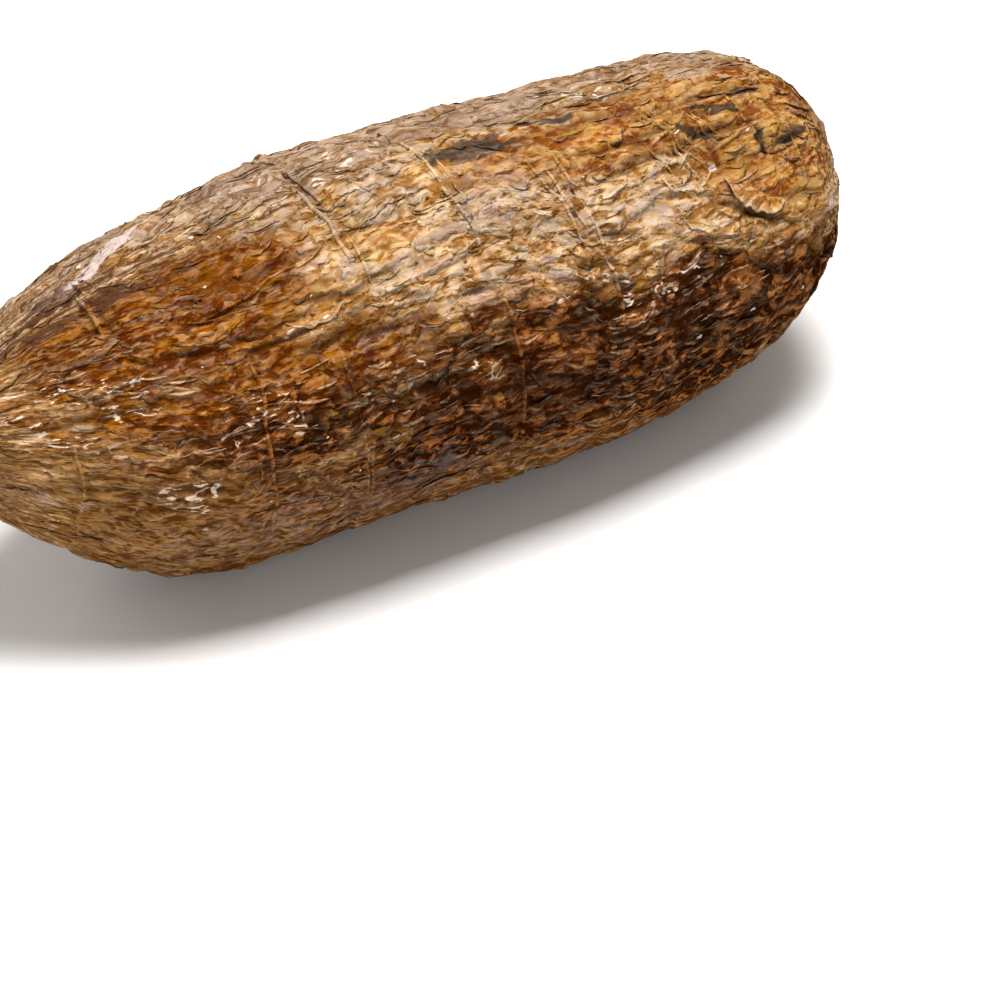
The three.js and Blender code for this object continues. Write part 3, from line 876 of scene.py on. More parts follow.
@dataclass(frozen=True)
class Plies:
    """Papery plies of bark, torn back one over another, in millimetres.

    Attributes:
        length: along the grain to one swell.
        width: across the grain to one swell.
        count: plies between the lowest and the highest.
        detail: finer octaves in the torn edges.
    """

    length: float
    width: float
    count: float
    detail: float

    def build(self, tree: NodeTree, place: NodeSocket) -> tuple:
        """Adds the plies' pattern.

        Args:
            tree: the material's tree.
            place: the place on the bark, in millimetres along and across the grain.

        Returns:
            Sockets of the height, of how far each place lies under the next ply's edge, of the painted shade
            there and of the edge's pale lip, which is partly a painted highlight.
        """
        add = partial(wire, tree)
        size = (1 / self.length, 1 / self.width, 1 / self.width)
        laid = add(MAPPING, {"Vector": place, "Scale": size})
        swell = add(NOISE, {"Vector": laid, "Scale": 1.0, "Detail": self.detail, "Roughness": 0.5})
        level = add(MULTIPLY, (swell, self.count))
        under = add(MATH, (level,), operation="FRACT")
        edge = add(SMOOTH, (under, 0.0, 0.3))
        floor = add(SUBTRACT, (level, under))
        height = add(ADD, (floor, edge))
        before = add(SMOOTH, (under, 0.6, 1.0))
        after = add(SMOOTH, (under, 0.14, 0.0))
        crevice = add(MAXIMUM, (before, after))
        rising = add(SMOOTH, (under, 0.06, 0.24))
        falling = add(SMOOTH, (under, 0.62, 0.24))
        lip = add(MULTIPLY, (rising, falling))
        return add(MATH, (height, self.count), operation="DIVIDE"), under, crevice, lip


@dataclass(frozen=True)
class Shingles:
    """Flakes of bark broken into uneven lozenges, in millimetres.

    Attributes:
        length: along the grain to one flake.
        width: across the grain to one flake.
    """

    length: float
    width: float

    def build(self, tree: NodeTree, place: NodeSocket, around: NodeSocket) -> tuple:
        """Adds the flakes' pattern.

        Args:
            tree: the material's tree.
            place: the place on the bark, in millimetres along and across the grain.
            around: the direction round the girth.

        Returns:
            Sockets of each flake's own tone, of its tilted height, of its pale free edge, which is partly a
            painted highlight, and of the painted shadow beyond it.
        """
        add = partial(wire, tree)
        size = (1 / self.length, 1 / self.width, 1 / self.width)
        laid = add(MAPPING, {"Vector": place, "Scale": size})
        cell = add(CELLS, {"Vector": laid, "Scale": 1.0}).node.outputs
        border = add(CELLS, {"Vector": laid, "Scale": 1.0}, feature="DISTANCE_TO_EDGE")
        own = add("ShaderNodeSeparateColor", (cell["Color"],)).node.outputs
        offset = add(VECTOR, (laid, cell["Position"]), operation="SUBTRACT")
        side = add(VECTOR, (offset, around), out="Value", operation="DOT_PRODUCT")
        dome = add(SMOOTH, (border, 0.0, 0.3))
        tilted = add(MULTIPLY_ADD, (side, 0.9, 0.45))
        tilted = add(MULTIPLY_ADD, (own[0], 0.5, tilted))
        tilted = add(MULTIPLY, (tilted, dome))
        # The free side takes a painted highlight and the side under the next flake a painted shadow.
        free = add(SMOOTH, (side, 0.12, 0.36))
        curled = add(SMOOTH, (own[1], 0.45, 0.8))
        lip = add(MULTIPLY, (free, curled))
        lip = add(MULTIPLY, (lip, dome))
        hidden = add(SMOOTH, (side, -0.1, -0.4))
        open_edge = add(SMOOTH, (border, 0.24, 0.04))
        shadow = add(MULTIPLY_ADD, (hidden, 0.75, 0.25))
        shadow = add(MULTIPLY, (shadow, open_edge))
        return own[2], tilted, lip, shadow


@dataclass(frozen=True)
class BarkFinish:
    """Cassava periderm: dry papery plies over a smooth orange-brown layer, under a thin coat of wax.

    The bark itself is matt and fibrous, with fibres along the root. Torn plies show as pale edges with
    dark crevices below them: the pale edges are partly painted highlight and the crevices painted shade.
    The wax gives soft highlights on raised edges and lies white in wrinkles, partly drawn as painted glints.
    """

    name: str = "cassava_bark"
    common: Shades = Shades("#986B36", "#C4A375", "#C2AFA1", 0.45)
    waxed: Shades = Shades("#8E6C47", "#9C8265", "#B5A390", 0.5)
    golden: Shades = Shades("#7A421A", "#A47338", "#AE864A", 0.4)
    dark: Shades = Shades("#1C0800", "#5B2E11", "#956132", 0.12)
    dull: Shades = Shades("#5B3816", "#7B5630", "#926C40", 0.2)
    bare: Shades = Shades("#582603", "#784608", "#925E18", 0.3)
    # Painted shade: the colour that darkens crevices below torn edges, the gaps beyond flakes, cracks, hollows and
    # small pits.
    crevice: str = "#371A07"
    # Pale torn edges: partly the paler torn bark itself, partly a painted highlight where lifted edges catch the
    # light.
    edge: str = "#DDBD98"
    black: str = "#2B2623"
    peeled: str = "#BDA8A0"
    # White wax in crinkles and specks, drawn partly as painted glints.
    wax_and_glint: str = "#DCC9B4"
    ruddy: str = "#7A4409"
    warm: str = "#FFF4D8"
    cool: str = "#F6EDEA"
    grime: str = "#84726A"
    stripe: str = "#4A3020"
    roughness: float = 0.55
    specular: float = 0.0  # all the gloss is the wax's
    coat: float = 0.3  # share of the surface that the wax covers where it is thickest
    coat_roughness: float = 0.3
    fibre: Pair = (5.0, 0.9)  # mm along and across the grain
    streak: Pair = (24.0, 1.3)
    blotch: Pair = (16.0, 8.0)
    fleck: Pair = (3.0, 1.5)
    tint: Pair = (11.0, 5.0)
    crumb: Pair = (1.7, 1.15)
    crinkle: Pair = (6.5, 2.4)
    grit: float = 0.5  # mm
    speck: Pair = (4.5, 3.0)  # mm between specks of wax and pits
    plies: Plies = Plies(12.0, 5.0, 4.5, 2.5)
    large_flakes: Shingles = Shingles(6.6, 3.4)
    small_flakes: Shingles = Shingles(3.3, 1.7)

    def build(self) -> Material:
        """Builds the bark's material."""
        material = bpy.data.materials.new(self.name)
        material.use_nodes = True
        tree = material.node_tree
        add = partial(wire, tree)
        shader = tree.nodes["Principled BSDF"]

        grain = add(ATTRIBUTE, out="Vector", attribute_name="grain")
        share: dict[str, NodeSocket] = {}
        for name, keys in CHANNELS.items():
            colour = add(ATTRIBUTE, out="Color", attribute_name=name)
            parts = add("ShaderNodeSeparateColor", (colour,)).node.outputs
            share.update(zip(keys, [*parts, colour.node.outputs["Alpha"]]))
        own_tone = add(ATTRIBUTE, out="Fac", attribute_name="flake_tone")
        rim = add(ATTRIBUTE, out="Fac", attribute_name="rim")

        bend = add(NOISE, {"Vector": grain, "Scale": 0.13, "Detail": 3.0}, out="Color")
        bent = add(VECTOR, (bend, (7.0, 3.6, 3.6), grain), operation="MULTIPLY_ADD")
        noises = []
        sizes = (self.fibre, self.streak, self.blotch, self.fleck, self.tint, self.crumb, self.crinkle)
        for (length, width), detail in zip(sizes, (2.0, 3.0, 3.0, 2.0, 3.0, 1.0, 1.0)):
            laid = add(MAPPING, {"Vector": bent, "Scale": (1 / length, 1 / width, 1 / width)})
            noises.append(add(NOISE, {"Vector": laid, "Scale": 1.0, "Detail": detail, "Roughness": 0.6}))
        fibre, streak, blotch, fleck, tint, crumb, crinkle = noises
        creased = add(SUBTRACT, (crinkle, 0.5))
        creased = add(MATH, (creased,), operation="ABSOLUTE")
        creased = add(SMOOTH, (creased, 0.09, 0.0))
        creasing = add(MULTIPLY_ADD, (share["dull"], 0.75, 0.2))
        grit = add(NOISE, {"Vector": grain, "Scale": 1 / self.grit, "Detail": 2.0})
        wide, wide_under, wide_crevice, wide_lip = self.plies.build(tree, bent)
        jagged = add(NOISE, {"Vector": bent, "Scale": 0.7, "Detail": 2.0}, out="Color")
        jagged = add(VECTOR, (jagged, (1.6, 1.0, 1.0), bent), operation="MULTIPLY_ADD")
        around = add(VECTOR, ((1.0, 0.0, 0.0), grain), operation="CROSS_PRODUCT")
        around = add(VECTOR, (around,), operation="NORMALIZE")
        large_tone, large, large_lip, large_shadow = self.large_flakes.build(tree, jagged, around)
        small_tone, small, small_lip, small_shadow = self.small_flakes.build(tree, jagged, around)

        # How high on the bark's shades each place is: 0 in the hollows and 1 on the crests. Besides the bark's
        # own tone patterns it carries painted light and shade: the free side of tilted flakes is lighter
        # and the foot of each torn ply darker.
        shade = add(SUBTRACT, (share["tone"], 0.5))
        shade = add(ADD, (shade, own_tone))
        shade = add(MULTIPLY_ADD, (shade, 0.45, 0.5))
        striping = add(MULTIPLY_ADD, (share["striped"], 4.0, 0.5))
        fraying = add(MULTIPLY_ADD, (share["striped"], 0.8, 0.25))
        ruffled = add(MULTIPLY_ADD, (share["golden"], -0.3, 1.0))
        ruffled = add(MULTIPLY_ADD, (share["calm"], -0.6, ruffled))
        finely = add(MULTIPLY, (ruffled, 0.5))
        patterns = ((fibre, fraying), (streak, striping), (wide, 0.4), (blotch, 1.1), (fleck, 0.8), (grit, 0.25))
        flaked = ((large_tone, 0.6), (large, 0.45), (small_tone, finely), (small, 0.25), (crumb, 0.8))
        for pattern, weight in (*patterns, *flaked, (creased, creasing), (wide_under, -0.15)):
            centred = add(SUBTRACT, (pattern, 0.5))
            shade = add(MULTIPLY_ADD, (centred, weight, shade))
        outer = add(MULTIPLY_ADD, (share["outer"], 0.22, -0.11))
        shade = add(ADD, (shade, outer))
        rising = add(SMOOTH, (shade, 0.14, 0.52))
        cresting = add(SMOOTH, (shade, 0.48, 0.86))

        frayed = add(MULTIPLY_ADD, (fleck, 0.5, -0.7))
        frayed = add(MULTIPLY_ADD, (blotch, 0.9, frayed))
        for own, weight in ((large_tone, 0.42), (small_tone, 0.22)):  # so whole flakes lean one way or the other
            centred = add(SUBTRACT, (own, 0.5))
            frayed = add(MULTIPLY_ADD, (centred, weight, frayed))
        colour, edge = None, None
        for key in ("common", "golden", "bare", "waxed", "dull", "dark"):
            shades: Shades = getattr(self, key)
            own = add(BLEND, {0: rising, 6: linear(shades.hollow), 7: linear(shades.body)}, out=2)
            own = add(BLEND, {0: cresting, 6: own, 7: linear(shades.crest)}, out=2)
            if colour is None:
                colour, edge = own, shades.edge
                continue
            reach = add(ADD, (share[key], frayed))
            low, high = (0.17, 0.62) if key in ("bare", "dark") else (0.25, 0.7)
            reach = add(SMOOTH, (reach, low, high))
            colour = add(BLEND, {0: reach, 6: colour, 7: own}, out=2)
            edge = add(MIX, {0: reach, 2: edge, 3: shades.edge})

        # Patches a few millimetres wide lean to gold or to a cool grey, whatever their shade.
        leaning = add(SMOOTH, (tint, 0.38, 0.62))
        leaning = add(BLEND, {0: leaning, 6: linear(self.cool), 7: linear(self.warm)}, out=2)
        colour = add(BLEND, {0: 1.0, 6: colour, 7: leaning}, out=2, blend_type="MULTIPLY")

        broken = add(SMOOTH, (fleck, 0.42, 0.6))
        parted = add(SMOOTH, (fleck, 0.62, 0.44))
        # Pale edges of plies, flakes and flake rims: partly the paler torn bark, partly a painted highlight where
        # edges lift into the light.
        pale_lit_edges = add(MULTIPLY, (wide_lip, 0.6))
        for lip in (large_lip, small_lip, share["lip"]):
            pale_lit_edges = add(MAXIMUM, (pale_lit_edges, lip))
        pale_lit_edges = add(MULTIPLY, (pale_lit_edges, broken))
        pale_lit_edges = add(MULTIPLY, (pale_lit_edges, edge))
        faded = add(RANGE, (fleck, 0.3, 0.6, 0.25, 0.85))
        dimmed = add(MULTIPLY_ADD, (share["dark"], -0.5, 1.0))
        rims = add(MULTIPLY, (rim, faded))
        rims = add(MULTIPLY, (rims, dimmed))
        pale_lit_edges = add(MAXIMUM, (pale_lit_edges, rims))
        colour = add(BLEND, {0: pale_lit_edges, 6: colour, 7: linear(self.edge)}, out=2)
        # Painted shade: crevices below ply edges, the shadows beyond flake edges, and the cracks and hollows of the
        # crack share are darkened.
        crevices = add(MULTIPLY, (wide_crevice, 0.6))
        for shadow in (large_shadow, small_shadow):
            crevices = add(MAXIMUM, (crevices, shadow))
        parted = add(MULTIPLY, (parted, ruffled))
        crevices = add(MULTIPLY, (crevices, parted))
        crack = add(MULTIPLY, (share["crack"], 0.8))
        crevices = add(MAXIMUM, (crevices, crack))
        depth = add(MULTIPLY_ADD, (share["dull"], -0.4, 0.85))
        depth = add(MULTIPLY_ADD, (share["bare"], -0.15, depth))
        deep = add(MULTIPLY, (crevices, depth), use_clamp=True)
        colour = add(BLEND, {0: deep, 6: colour, 7: linear(self.crevice)}, out=2)

        # Blackened and peeled places fray along the fibres, and wax lies white only on torn edges, drawn partly as
        # painted glints.
        frays = add(MULTIPLY_ADD, (fibre, 1.6, fleck))
        clumped = add(SMOOTH, (blotch, 0.46, 0.6))
        glint = add(MULTIPLY, (creased, broken))
        thickly = add(SMOOTH, (share["frosted"], 0.75, 0.95))
        clumped = add(MAXIMUM, (clumped, thickly))
        glint = add(MULTIPLY, (glint, clumped))
        for key, pattern, weight, low, high, most, hex_code in (
            ("striped", streak, -3.0, -0.7, -0.45, 0.85, self.stripe),
            ("black", frays, 1.0, 1.75, 2.1, 0.85, self.black),
            ("peeled", fleck, 1.0, 0.9, 1.25, 0.9, self.peeled),
            ("frosted", glint, 2.0, 1.2, 2.2, 0.85, self.wax_and_glint),
        ):
            reach = add(MULTIPLY_ADD, (pattern, weight, share[key]))
            reach = add(SMOOTH, (reach, low, high, 0.0, most))
            inside = add(MULTIPLY, (share[key], 3.0), use_clamp=True)
            reach = add(MULTIPLY, (reach, inside))
            colour = add(BLEND, {0: reach, 6: colour, 7: linear(hex_code)}, out=2)
        for key, pattern, most, hex_code in (("ruddy", blotch, 0.3, self.ruddy), ("grimed", fleck, 0.4, self.grime)):
            reach = add(MULTIPLY_ADD, (pattern, 1.6, share[key]))
            reach = add(SMOOTH, (reach, 1.0, 1.7, 0.0, most))
            colour = add(BLEND, {0: reach, 6: colour, 7: linear(hex_code)}, out=2)

        # Small specks of wax lie white on the bark, partly as painted glints, between small dark pits of painted
        # shade.
        laid = add(MAPPING, {"Vector": jagged, "Scale": (1 / self.speck[0], 1 / self.speck[1], 1 / self.speck[1])})
        cell = add(CELLS, {"Vector": laid, "Scale": 1.0}).node.outputs
        own = add("ShaderNodeSeparateColor", (cell["Color"],)).node.outputs
        for slope, start, hex_code in ((1.0, -0.8, self.wax_and_glint), (-0.34, 0.2, self.crevice)):
            reach = add(MULTIPLY_ADD, (own[0], slope, start))
            reach = add(SUBTRACT, (reach, cell["Distance"]))
            reach = add(SMOOTH, (reach, 0.0, 0.07, 0.0, 0.75))
            colour = add(BLEND, {0: reach, 6: colour, 7: linear(hex_code)}, out=2)
        tree.links.new(colour, shader.inputs["Base Color"])

        rough = add(MULTIPLY_ADD, (fleck, 0.5, self.roughness - 0.25))
        rough = add(MULTIPLY_ADD, (deep, 0.3, rough))
        rough = add(MULTIPLY_ADD, (share["waxed"], -0.1, rough), use_clamp=True)
        tree.links.new(rough, shader.inputs["Roughness"])
        waxy = add(MULTIPLY_ADD, (share["waxed"], 0.9, 0.1))
        raised = add(MULTIPLY_ADD, (pale_lit_edges, 0.7, 0.3))
        for factor in (self.coat, broken, raised):
            waxy = add(MULTIPLY, (waxy, factor))
        tree.links.new(waxy, shader.inputs["Coat Weight"])
        shader.inputs["Specular IOR Level"].default_value = self.specular
        shader.inputs["Coat Roughness"].default_value = self.coat_roughness

        # Fibres and grit stand about 0.1 mm high, large flakes up to 0.7, and plies, crumbs and creases 0.2 to 0.3.
        ridged = add(MULTIPLY, (creasing, creased))
        fine = add(MULTIPLY_ADD, (grit, 0.4, fibre))
        normal = add("ShaderNodeBump", {"Height": fine, "Strength": 0.5, "Distance": 0.15 * MM})
        for height, depth in ((fine, 0.25), (large, 0.9), (wide, 0.2), (crumb, 0.5), (ridged, 0.4)):
            inputs = {"Height": height, "Strength": 0.8, "Distance": depth * MM, "Normal": normal}
            normal = add("ShaderNodeBump", inputs)
        tree.links.new(normal, shader.inputs["Normal"])
        return material


@dataclass(frozen=True)
class WoodFinish:
    """Dry root wood of the cut neck: straw coloured, with darker rings and rays."""

    name: str = "cassava_neck_wood"
    pale: str = "#C9A878"
    deep: str = "#6E4623"
    roughness: float = 0.75
    ring: float = 1.3  # mm between rings

    def build(self) -> Material:
        """Builds the wood's material."""
        material = bpy.data.materials.new(self.name)
        material.use_nodes = True
        tree = material.node_tree
        add = partial(wire, tree)
        shader = tree.nodes["Principled BSDF"]
        place = add("ShaderNodeTexCoord", out="Object")
        noise = add(NOISE, {"Vector": place, "Scale": 1 / (0.7 * MM), "Detail": 4.0})
        disc = add(ATTRIBUTE, out="Vector", attribute_name="disc")
        laid = add(MAPPING, {"Vector": disc, "Scale": (0.1, 7.0, 7.0)})
        rays = add(NOISE, {"Vector": laid, "Scale": 1.0, "Detail": 2.0})
        distance = add("ShaderNodeSeparateXYZ", (disc,))
        turns = add(MULTIPLY_ADD, (distance, 2 * np.pi / self.ring, rays))
        rings = add(MATH, (turns,), operation="SINE")
        share = add(MULTIPLY_ADD, (rays, 1.2, noise))
        share = add(MULTIPLY_ADD, (rings, 0.12, share))
        share = add(RANGE, (share, 0.75, 1.45))
        inputs = {0: share, 6: linear(self.deep), 7: linear(self.pale)}
        tree.links.new(add(BLEND, inputs, out=2), shader.inputs["Base Color"])
        shader.inputs["Roughness"].default_value = self.roughness
        normal = add("ShaderNodeBump", {"Height": noise, "Strength": 0.6, "Distance": 0.3 * MM})
        tree.links.new(normal, shader.inputs["Normal"])
        return material


@dataclass(frozen=True)
class FloorFinish:
    """Matt white studio sweep."""

    name: str = "studio_floor"
    colour: str = "#E2E0DE"
    roughness: float = 0.9

    def build(self) -> Material:
        """Builds the floor's material."""
        material = bpy.data.materials.new(self.name)
        material.use_nodes = True
        shader = material.node_tree.nodes["Principled BSDF"]
        shader.inputs["Base Color"].default_value = linear(self.colour)
        shader.inputs["Roughness"].default_value = self.roughness
        shader.inputs["Specular IOR Level"].default_value = 0.2
        return material


# ---- Pieces ----


def mesh_object(name: str, points: np.ndarray, faces: np.ndarray | list, material: Material) -> Object:
    """Makes a mesh object at the origin.

    Args:
        name: the piece's name.
        points: vertices in millimetres.
        faces: vertex numbers of each face.
        material: its finish.

    Returns:
        The object, linked to the scene.
    """
    mesh = bpy.data.meshes.new(name)
    faces = faces.tolist() if isinstance(faces, np.ndarray) else faces
    mesh.from_pydata((points * MM).tolist(), [], faces)
    mesh.materials.append(material)
    mesh.polygons.foreach_set("use_smooth", [True] * len(mesh.polygons))
    mesh.update()
    made = bpy.data.objects.new(name, mesh)
    bpy.context.scene.collection.objects.link(made)
    return made


def tube_faces(rows: int, columns: int, turned: bool = False) -> list[list[int]]:
    """Quads between rings of vertices, and a fan at each end to one of the two vertices that come last.

    Args:
        rows: number of rings.
        columns: vertices in each ring.
        turned: whether the faces are turned over.

    Returns:
        Vertex numbers of each face.
    """
    column = np.arange(columns)
    beside = (column + 1) % columns
    start = (np.arange(rows - 1) * columns)[:, None]
    last, tip = (rows - 1) * columns, np.full(columns, rows * columns)
    quads = np.stack([start + column, start + beside, start + columns + beside, start + columns + column], -1)
    fans = np.stack([tip, beside, column], -1), np.stack([tip + 1, last + column, last + beside], -1)
    grids = (quads.reshape(-1, 4), *fans)
    return [face for grid in grids for face in (np.roll(grid[:, ::-1], 1, 1) if turned else grid).tolist()]


def leaf_faces(along: int, across: int) -> np.ndarray:
    """Faces of a closed leaf: a grid of vertices above, the same grid below, and a wall round both.

    Args:
        along: quads along it.
        across: quads across it.

    Returns:
        Vertex numbers of each quad: first all above, then all below, then the wall.
    """
    count = (along + 1) * (across + 1)
    number = np.arange(count).reshape(along + 1, across + 1)
    upper = np.stack([number[:-1, :-1], number[1:, :-1], number[1:, 1:], number[:-1, 1:]], -1).reshape(-1, 4)
    loop = np.array([*number[:, 0], *number[-1, 1:], *number[-2::-1, -1], *number[0, -2:0:-1]])
    after = np.roll(loop, -1)
    return np.concatenate([upper, upper[:, ::-1] + count, np.stack([loop, loop + count, after + count, after], -1)])


def set_attribute(mesh: Mesh, name: str, kind: str, values: np.ndarray) -> None:
    """Stores one value for each vertex of a mesh.

    Args:
        mesh: the mesh.
        name: the attribute's name.
        kind: FLOAT, FLOAT_VECTOR or FLOAT_COLOR.
        values: one row for each vertex.
    """
    key = {"FLOAT": "value", "FLOAT_VECTOR": "vector", "FLOAT_COLOR": "color"}[kind]
    made = mesh.attributes.new(name, kind, "POINT")
    made.data.foreach_set(key, np.asarray(values, np.float32).ravel())


def grow(name: str, guide: Mesh, tree: NodeTree, values: dict[str, object]) -> Object:
    """Runs a Geometry Nodes tree on a mesh and keeps the result as a plain mesh.

    Args:
        name: the piece's name.
        guide: the mesh that the tree starts from.
        tree: the tree.
        values: the tree's inputs, by name.

    Returns:
        The object, linked to the scene, with no modifier left.
    """
    made = bpy.data.objects.new(name, guide)
    bpy.context.scene.collection.objects.link(made)
    modifier = made.modifiers.new("growth", "NODES")
    modifier.node_group = tree
    for item in tree.interface.items_tree:
        if item.in_out == "INPUT" and item.name in values:
            modifier[item.identifier] = values[item.name]
    graph = bpy.context.evaluated_depsgraph_get()
    mesh = bpy.data.meshes.new_from_object(made.evaluated_get(graph), preserve_all_data_layers=True, depsgraph=graph)
    made.modifiers.clear()
    made.data = mesh
    mesh.name = name
    return made


def new_tree(name: str, inputs: dict[str, str]) -> NodeTree:
    """Starts a Geometry Nodes tree.

    Args:
        name: the tree's name.
        inputs: what each input takes, by its name.

    Returns:
        The tree, with its input and output sockets declared.
    """
    tree = bpy.data.node_groups.new(name, "GeometryNodeTree")
    tree.interface.new_socket(name="Geometry", in_out="OUTPUT", socket_type="NodeSocketGeometry")
    tree.interface.new_socket(name="Guide", in_out="INPUT", socket_type="NodeSocketGeometry")
    for label, kind in inputs.items():
        tree.interface.new_socket(name=label, in_out="INPUT", socket_type=f"NodeSocket{kind}")
    return tree


def laid_on(tree: NodeTree, skin: NodeSocket, facing: NodeSocket, hover: float) -> NodeSocket:
    """Adds nodes that drop each vertex onto the bark.

    Args:
        tree: the tree.
        skin: the bark's geometry.
        facing: the direction that the vertex drops against.
        hover: height in metres from which it drops.

    Returns:
        The place on the bark, or the vertex's own place where it meets none.
    """
    add = partial(wire, tree)
    place = add("GeometryNodeInputPosition")
    above = add(VECTOR, (facing, (hover,) * 3, place), operation="MULTIPLY_ADD")
    down = add(VECTOR, (facing, (-1.0, -1.0, -1.0)), operation="MULTIPLY")
    inputs = {"Target Geometry": skin, "Source Position": above, "Ray Direction": down, "Ray Length": 3 * hover}
    ray = add("GeometryNodeRaycast", inputs).node.outputs
    inputs = {"Switch": ray["Is Hit"], "False": place, "True": ray["Hit Position"]}
    return add("GeometryNodeSwitch", inputs, input_type="VECTOR")


def copied_looks(tree: NodeTree, geometry: NodeSocket, skin: NodeSocket) -> NodeSocket:
    """Adds nodes that copy what the bark's finish reads from the bark below.

    Args:
        tree: the tree.
        geometry: what receives the attributes.
        skin: the bark's geometry.

    Returns:
        The geometry with the attributes on it.
    """
    add = partial(wire, tree)
    for name, kind in (("grain", "FLOAT_VECTOR"), *((name, "FLOAT_COLOR") for name in CHANNELS)):
        value = add(NAMED, (name,), data_type=kind)
        nearest = add("GeometryNodeSampleNearestSurface", (skin, value), data_type=kind)
        inputs = {"Geometry": geometry, "Name": name, "Value": nearest}
        geometry = add(STORE, inputs, data_type=kind, domain="POINT")
    return geometry


def attach(piece: Object) -> None:
    """Ties a piece to the root's body, hides the root's solid and reports the piece's triangles.

    Args:
        piece: the finished piece.
    """
    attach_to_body(piece, BODY)
    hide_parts(NODE)
    count = sum(len(p.vertices) - 2 for p in piece.data.polygons)
    log.info("%s: %d triangles", piece.name, count)


@dataclass
class BarkSkin:
    """The whole bark as one closed surface, from the tail's tip to the cut neck."""

    form: RootForm
    bark: FineBark
    material: Material
    rows: int = 318
    columns: int = 300
    neck_rows: tuple[Pair, ...] = ((9.7, 1.4), (9.4, 2.6), (8.4, 3.1), (7.4, 2.7), (6.9, 0.3))
    neck_middle: float = 0.2
    tail_rows: tuple[Pair, ...] = ((3.6, 1.0), (2.2, 1.4))
    tail_middle: float = 1.3

    def travelled(self, along: np.ndarray) -> np.ndarray:
        """Follows the surface from the tail.

        Args:
            along: distances from the tail, straight along the root.

        Returns:
            The same distances over the surface.
        """
        fine = np.linspace(0, self.form.length, SURFACE_STEPS)
        run = np.hypot(np.diff(fine), np.diff(self.form.radius(fine)))
        return np.interp(along, fine, np.concatenate([[0], np.cumsum(run)]))

    def row_places(self) -> np.ndarray:
        """Distances from the tail that space the rows evenly over the bark."""
        fine = np.linspace(0, self.form.length, SURFACE_STEPS)
        travelled = self.travelled(fine)
        return np.interp(np.linspace(0, travelled[-1], self.rows), travelled, fine)

    def end_rows(self, rows: tuple[Pair, ...], along: float, sign: int, ridge: np.ndarray) -> list:
        """Rings of points that close one end.

        Args:
            rows: radius and reach of each ring.
            along: the end's distance from the tail.
            sign: -1 at the tail and 1 at the neck.
            ridge: places round the girth.

        Returns:
            One array of points for each ring.
        """
        spot = np.full_like(ridge, along)
        middle = self.form.place(spot, ridge, -self.form.radius(spot))
        edge = self.form.place(spot, ridge, np.zeros_like(ridge))
        ragged = 1 + 0.05 * lattice_noise(ridge * 40 / self.form.ridges, spot * 0, 40, 11)
        made = []
        for radius, out in rows:
            share = radius / self.form.radius(np.array([along]))[0]
            ring = middle + (edge - middle) * (share * ragged)[:, None]
            ring[:, 0] = middle[:, 0] + (edge - middle)[:, 0] * share + sign * out
            made.append(ring)
        return made

    def build(self) -> Object:
        """Builds the bark, with the attributes that its finish and its flakes read."""
        along = self.row_places()[:, None]
        ridge = np.arange(self.columns)[None, :] * self.form.ridges / self.columns
        along, ridge = np.broadcast_arrays(along, ridge)
        bark = self.bark.sample(along, ridge)
        points = self.form.place(along, ridge, bark["height"])
        points[..., 2] = np.maximum(points[..., 2], 0.0)
        flat_ridge = ridge[0]
        tail = self.end_rows(self.tail_rows, 0.0, -1, flat_ridge)[::-1]
        neck = self.end_rows(self.neck_rows, self.form.length, 1, flat_ridge)
        rows = [*tail, *points, *neck]
        ends = [
            np.mean(tail[0], 0) + [-(self.tail_middle - self.tail_rows[-1][1]), 0, 0],
            np.mean(neck[-1], 0) + [self.neck_middle - self.neck_rows[-1][1], 0, 0],
        ]
        vertices = np.concatenate([np.concatenate(rows), np.array(ends)])
        skin = mesh_object("bark_skin", vertices, tube_faces(len(rows), self.columns), self.material)
        self.store(skin.data, along, ridge, bark, len(tail), len(neck))
        return skin

    def store(
        self, mesh: Mesh, along: np.ndarray, ridge: np.ndarray, bark: Samples, tail_rows: int, neck_rows: int
    ) -> None:
        """Stores what the finish and the flakes read.

        Args:
            mesh: the bark's mesh.
            along: distance from the tail of each place of the grid.
            ridge: ridge of each place.
            bark: the bark's samples.
            tail_rows: rings that close the tail.
            neck_rows: rings that close the neck.
        """

        def spread(values: np.ndarray) -> np.ndarray:
            """Repeats the grid's first and last rows over the ends, and adds the two middles.

            Args:
                values: one value for each place of the grid.

            Returns:
                One value for each vertex.
            """
            grid = np.concatenate([values[:1]] * tail_rows + [values] + [values[-1:]] * neck_rows)
            flat = grid.reshape(-1, *values.shape[2:])
            return np.concatenate([flat, values[0, :1], values[-1, :1]])

        angle = self.form.angle(along, ridge)
        facing_end = smoothstep(self.form.length - 24, self.form.length - 8, along)
        girth = self.bark.girth_radius + (self.form.radius(along) - self.bark.girth_radius) * facing_end
        grain = np.stack([self.travelled(along), girth * np.cos(angle), girth * np.sin(angle)], -1)
        set_attribute(mesh, "grain", "FLOAT_VECTOR", spread(grain))
        for name, keys in CHANNELS.items():
            set_attribute(mesh, name, "FLOAT_COLOR", spread(np.stack([bark[k] for k in keys], -1)))
        flat = np.zeros_like(along)
        after, before = np.minimum(along + 1.0, self.form.length), np.maximum(along - 1.0, 0)
        ahead = self.form.place(after, ridge, flat) - self.form.place(before, ridge, flat)
        aside = self.form.place(along, ridge + 0.1, flat) - self.form.place(along, ridge - 0.1, flat)
        outward = np.cross(aside, ahead)
        for name, vector in (("run", ahead), ("outward", outward)):
            size = np.linalg.norm(vector, axis=-1, keepdims=True)
            set_attribute(mesh, name, "FLOAT_VECTOR", spread(vector / np.maximum(size, 1e-9)))
        for name, values in self.flaking(along, angle, bark).items():
            set_attribute(mesh, name, "FLOAT", spread(values))

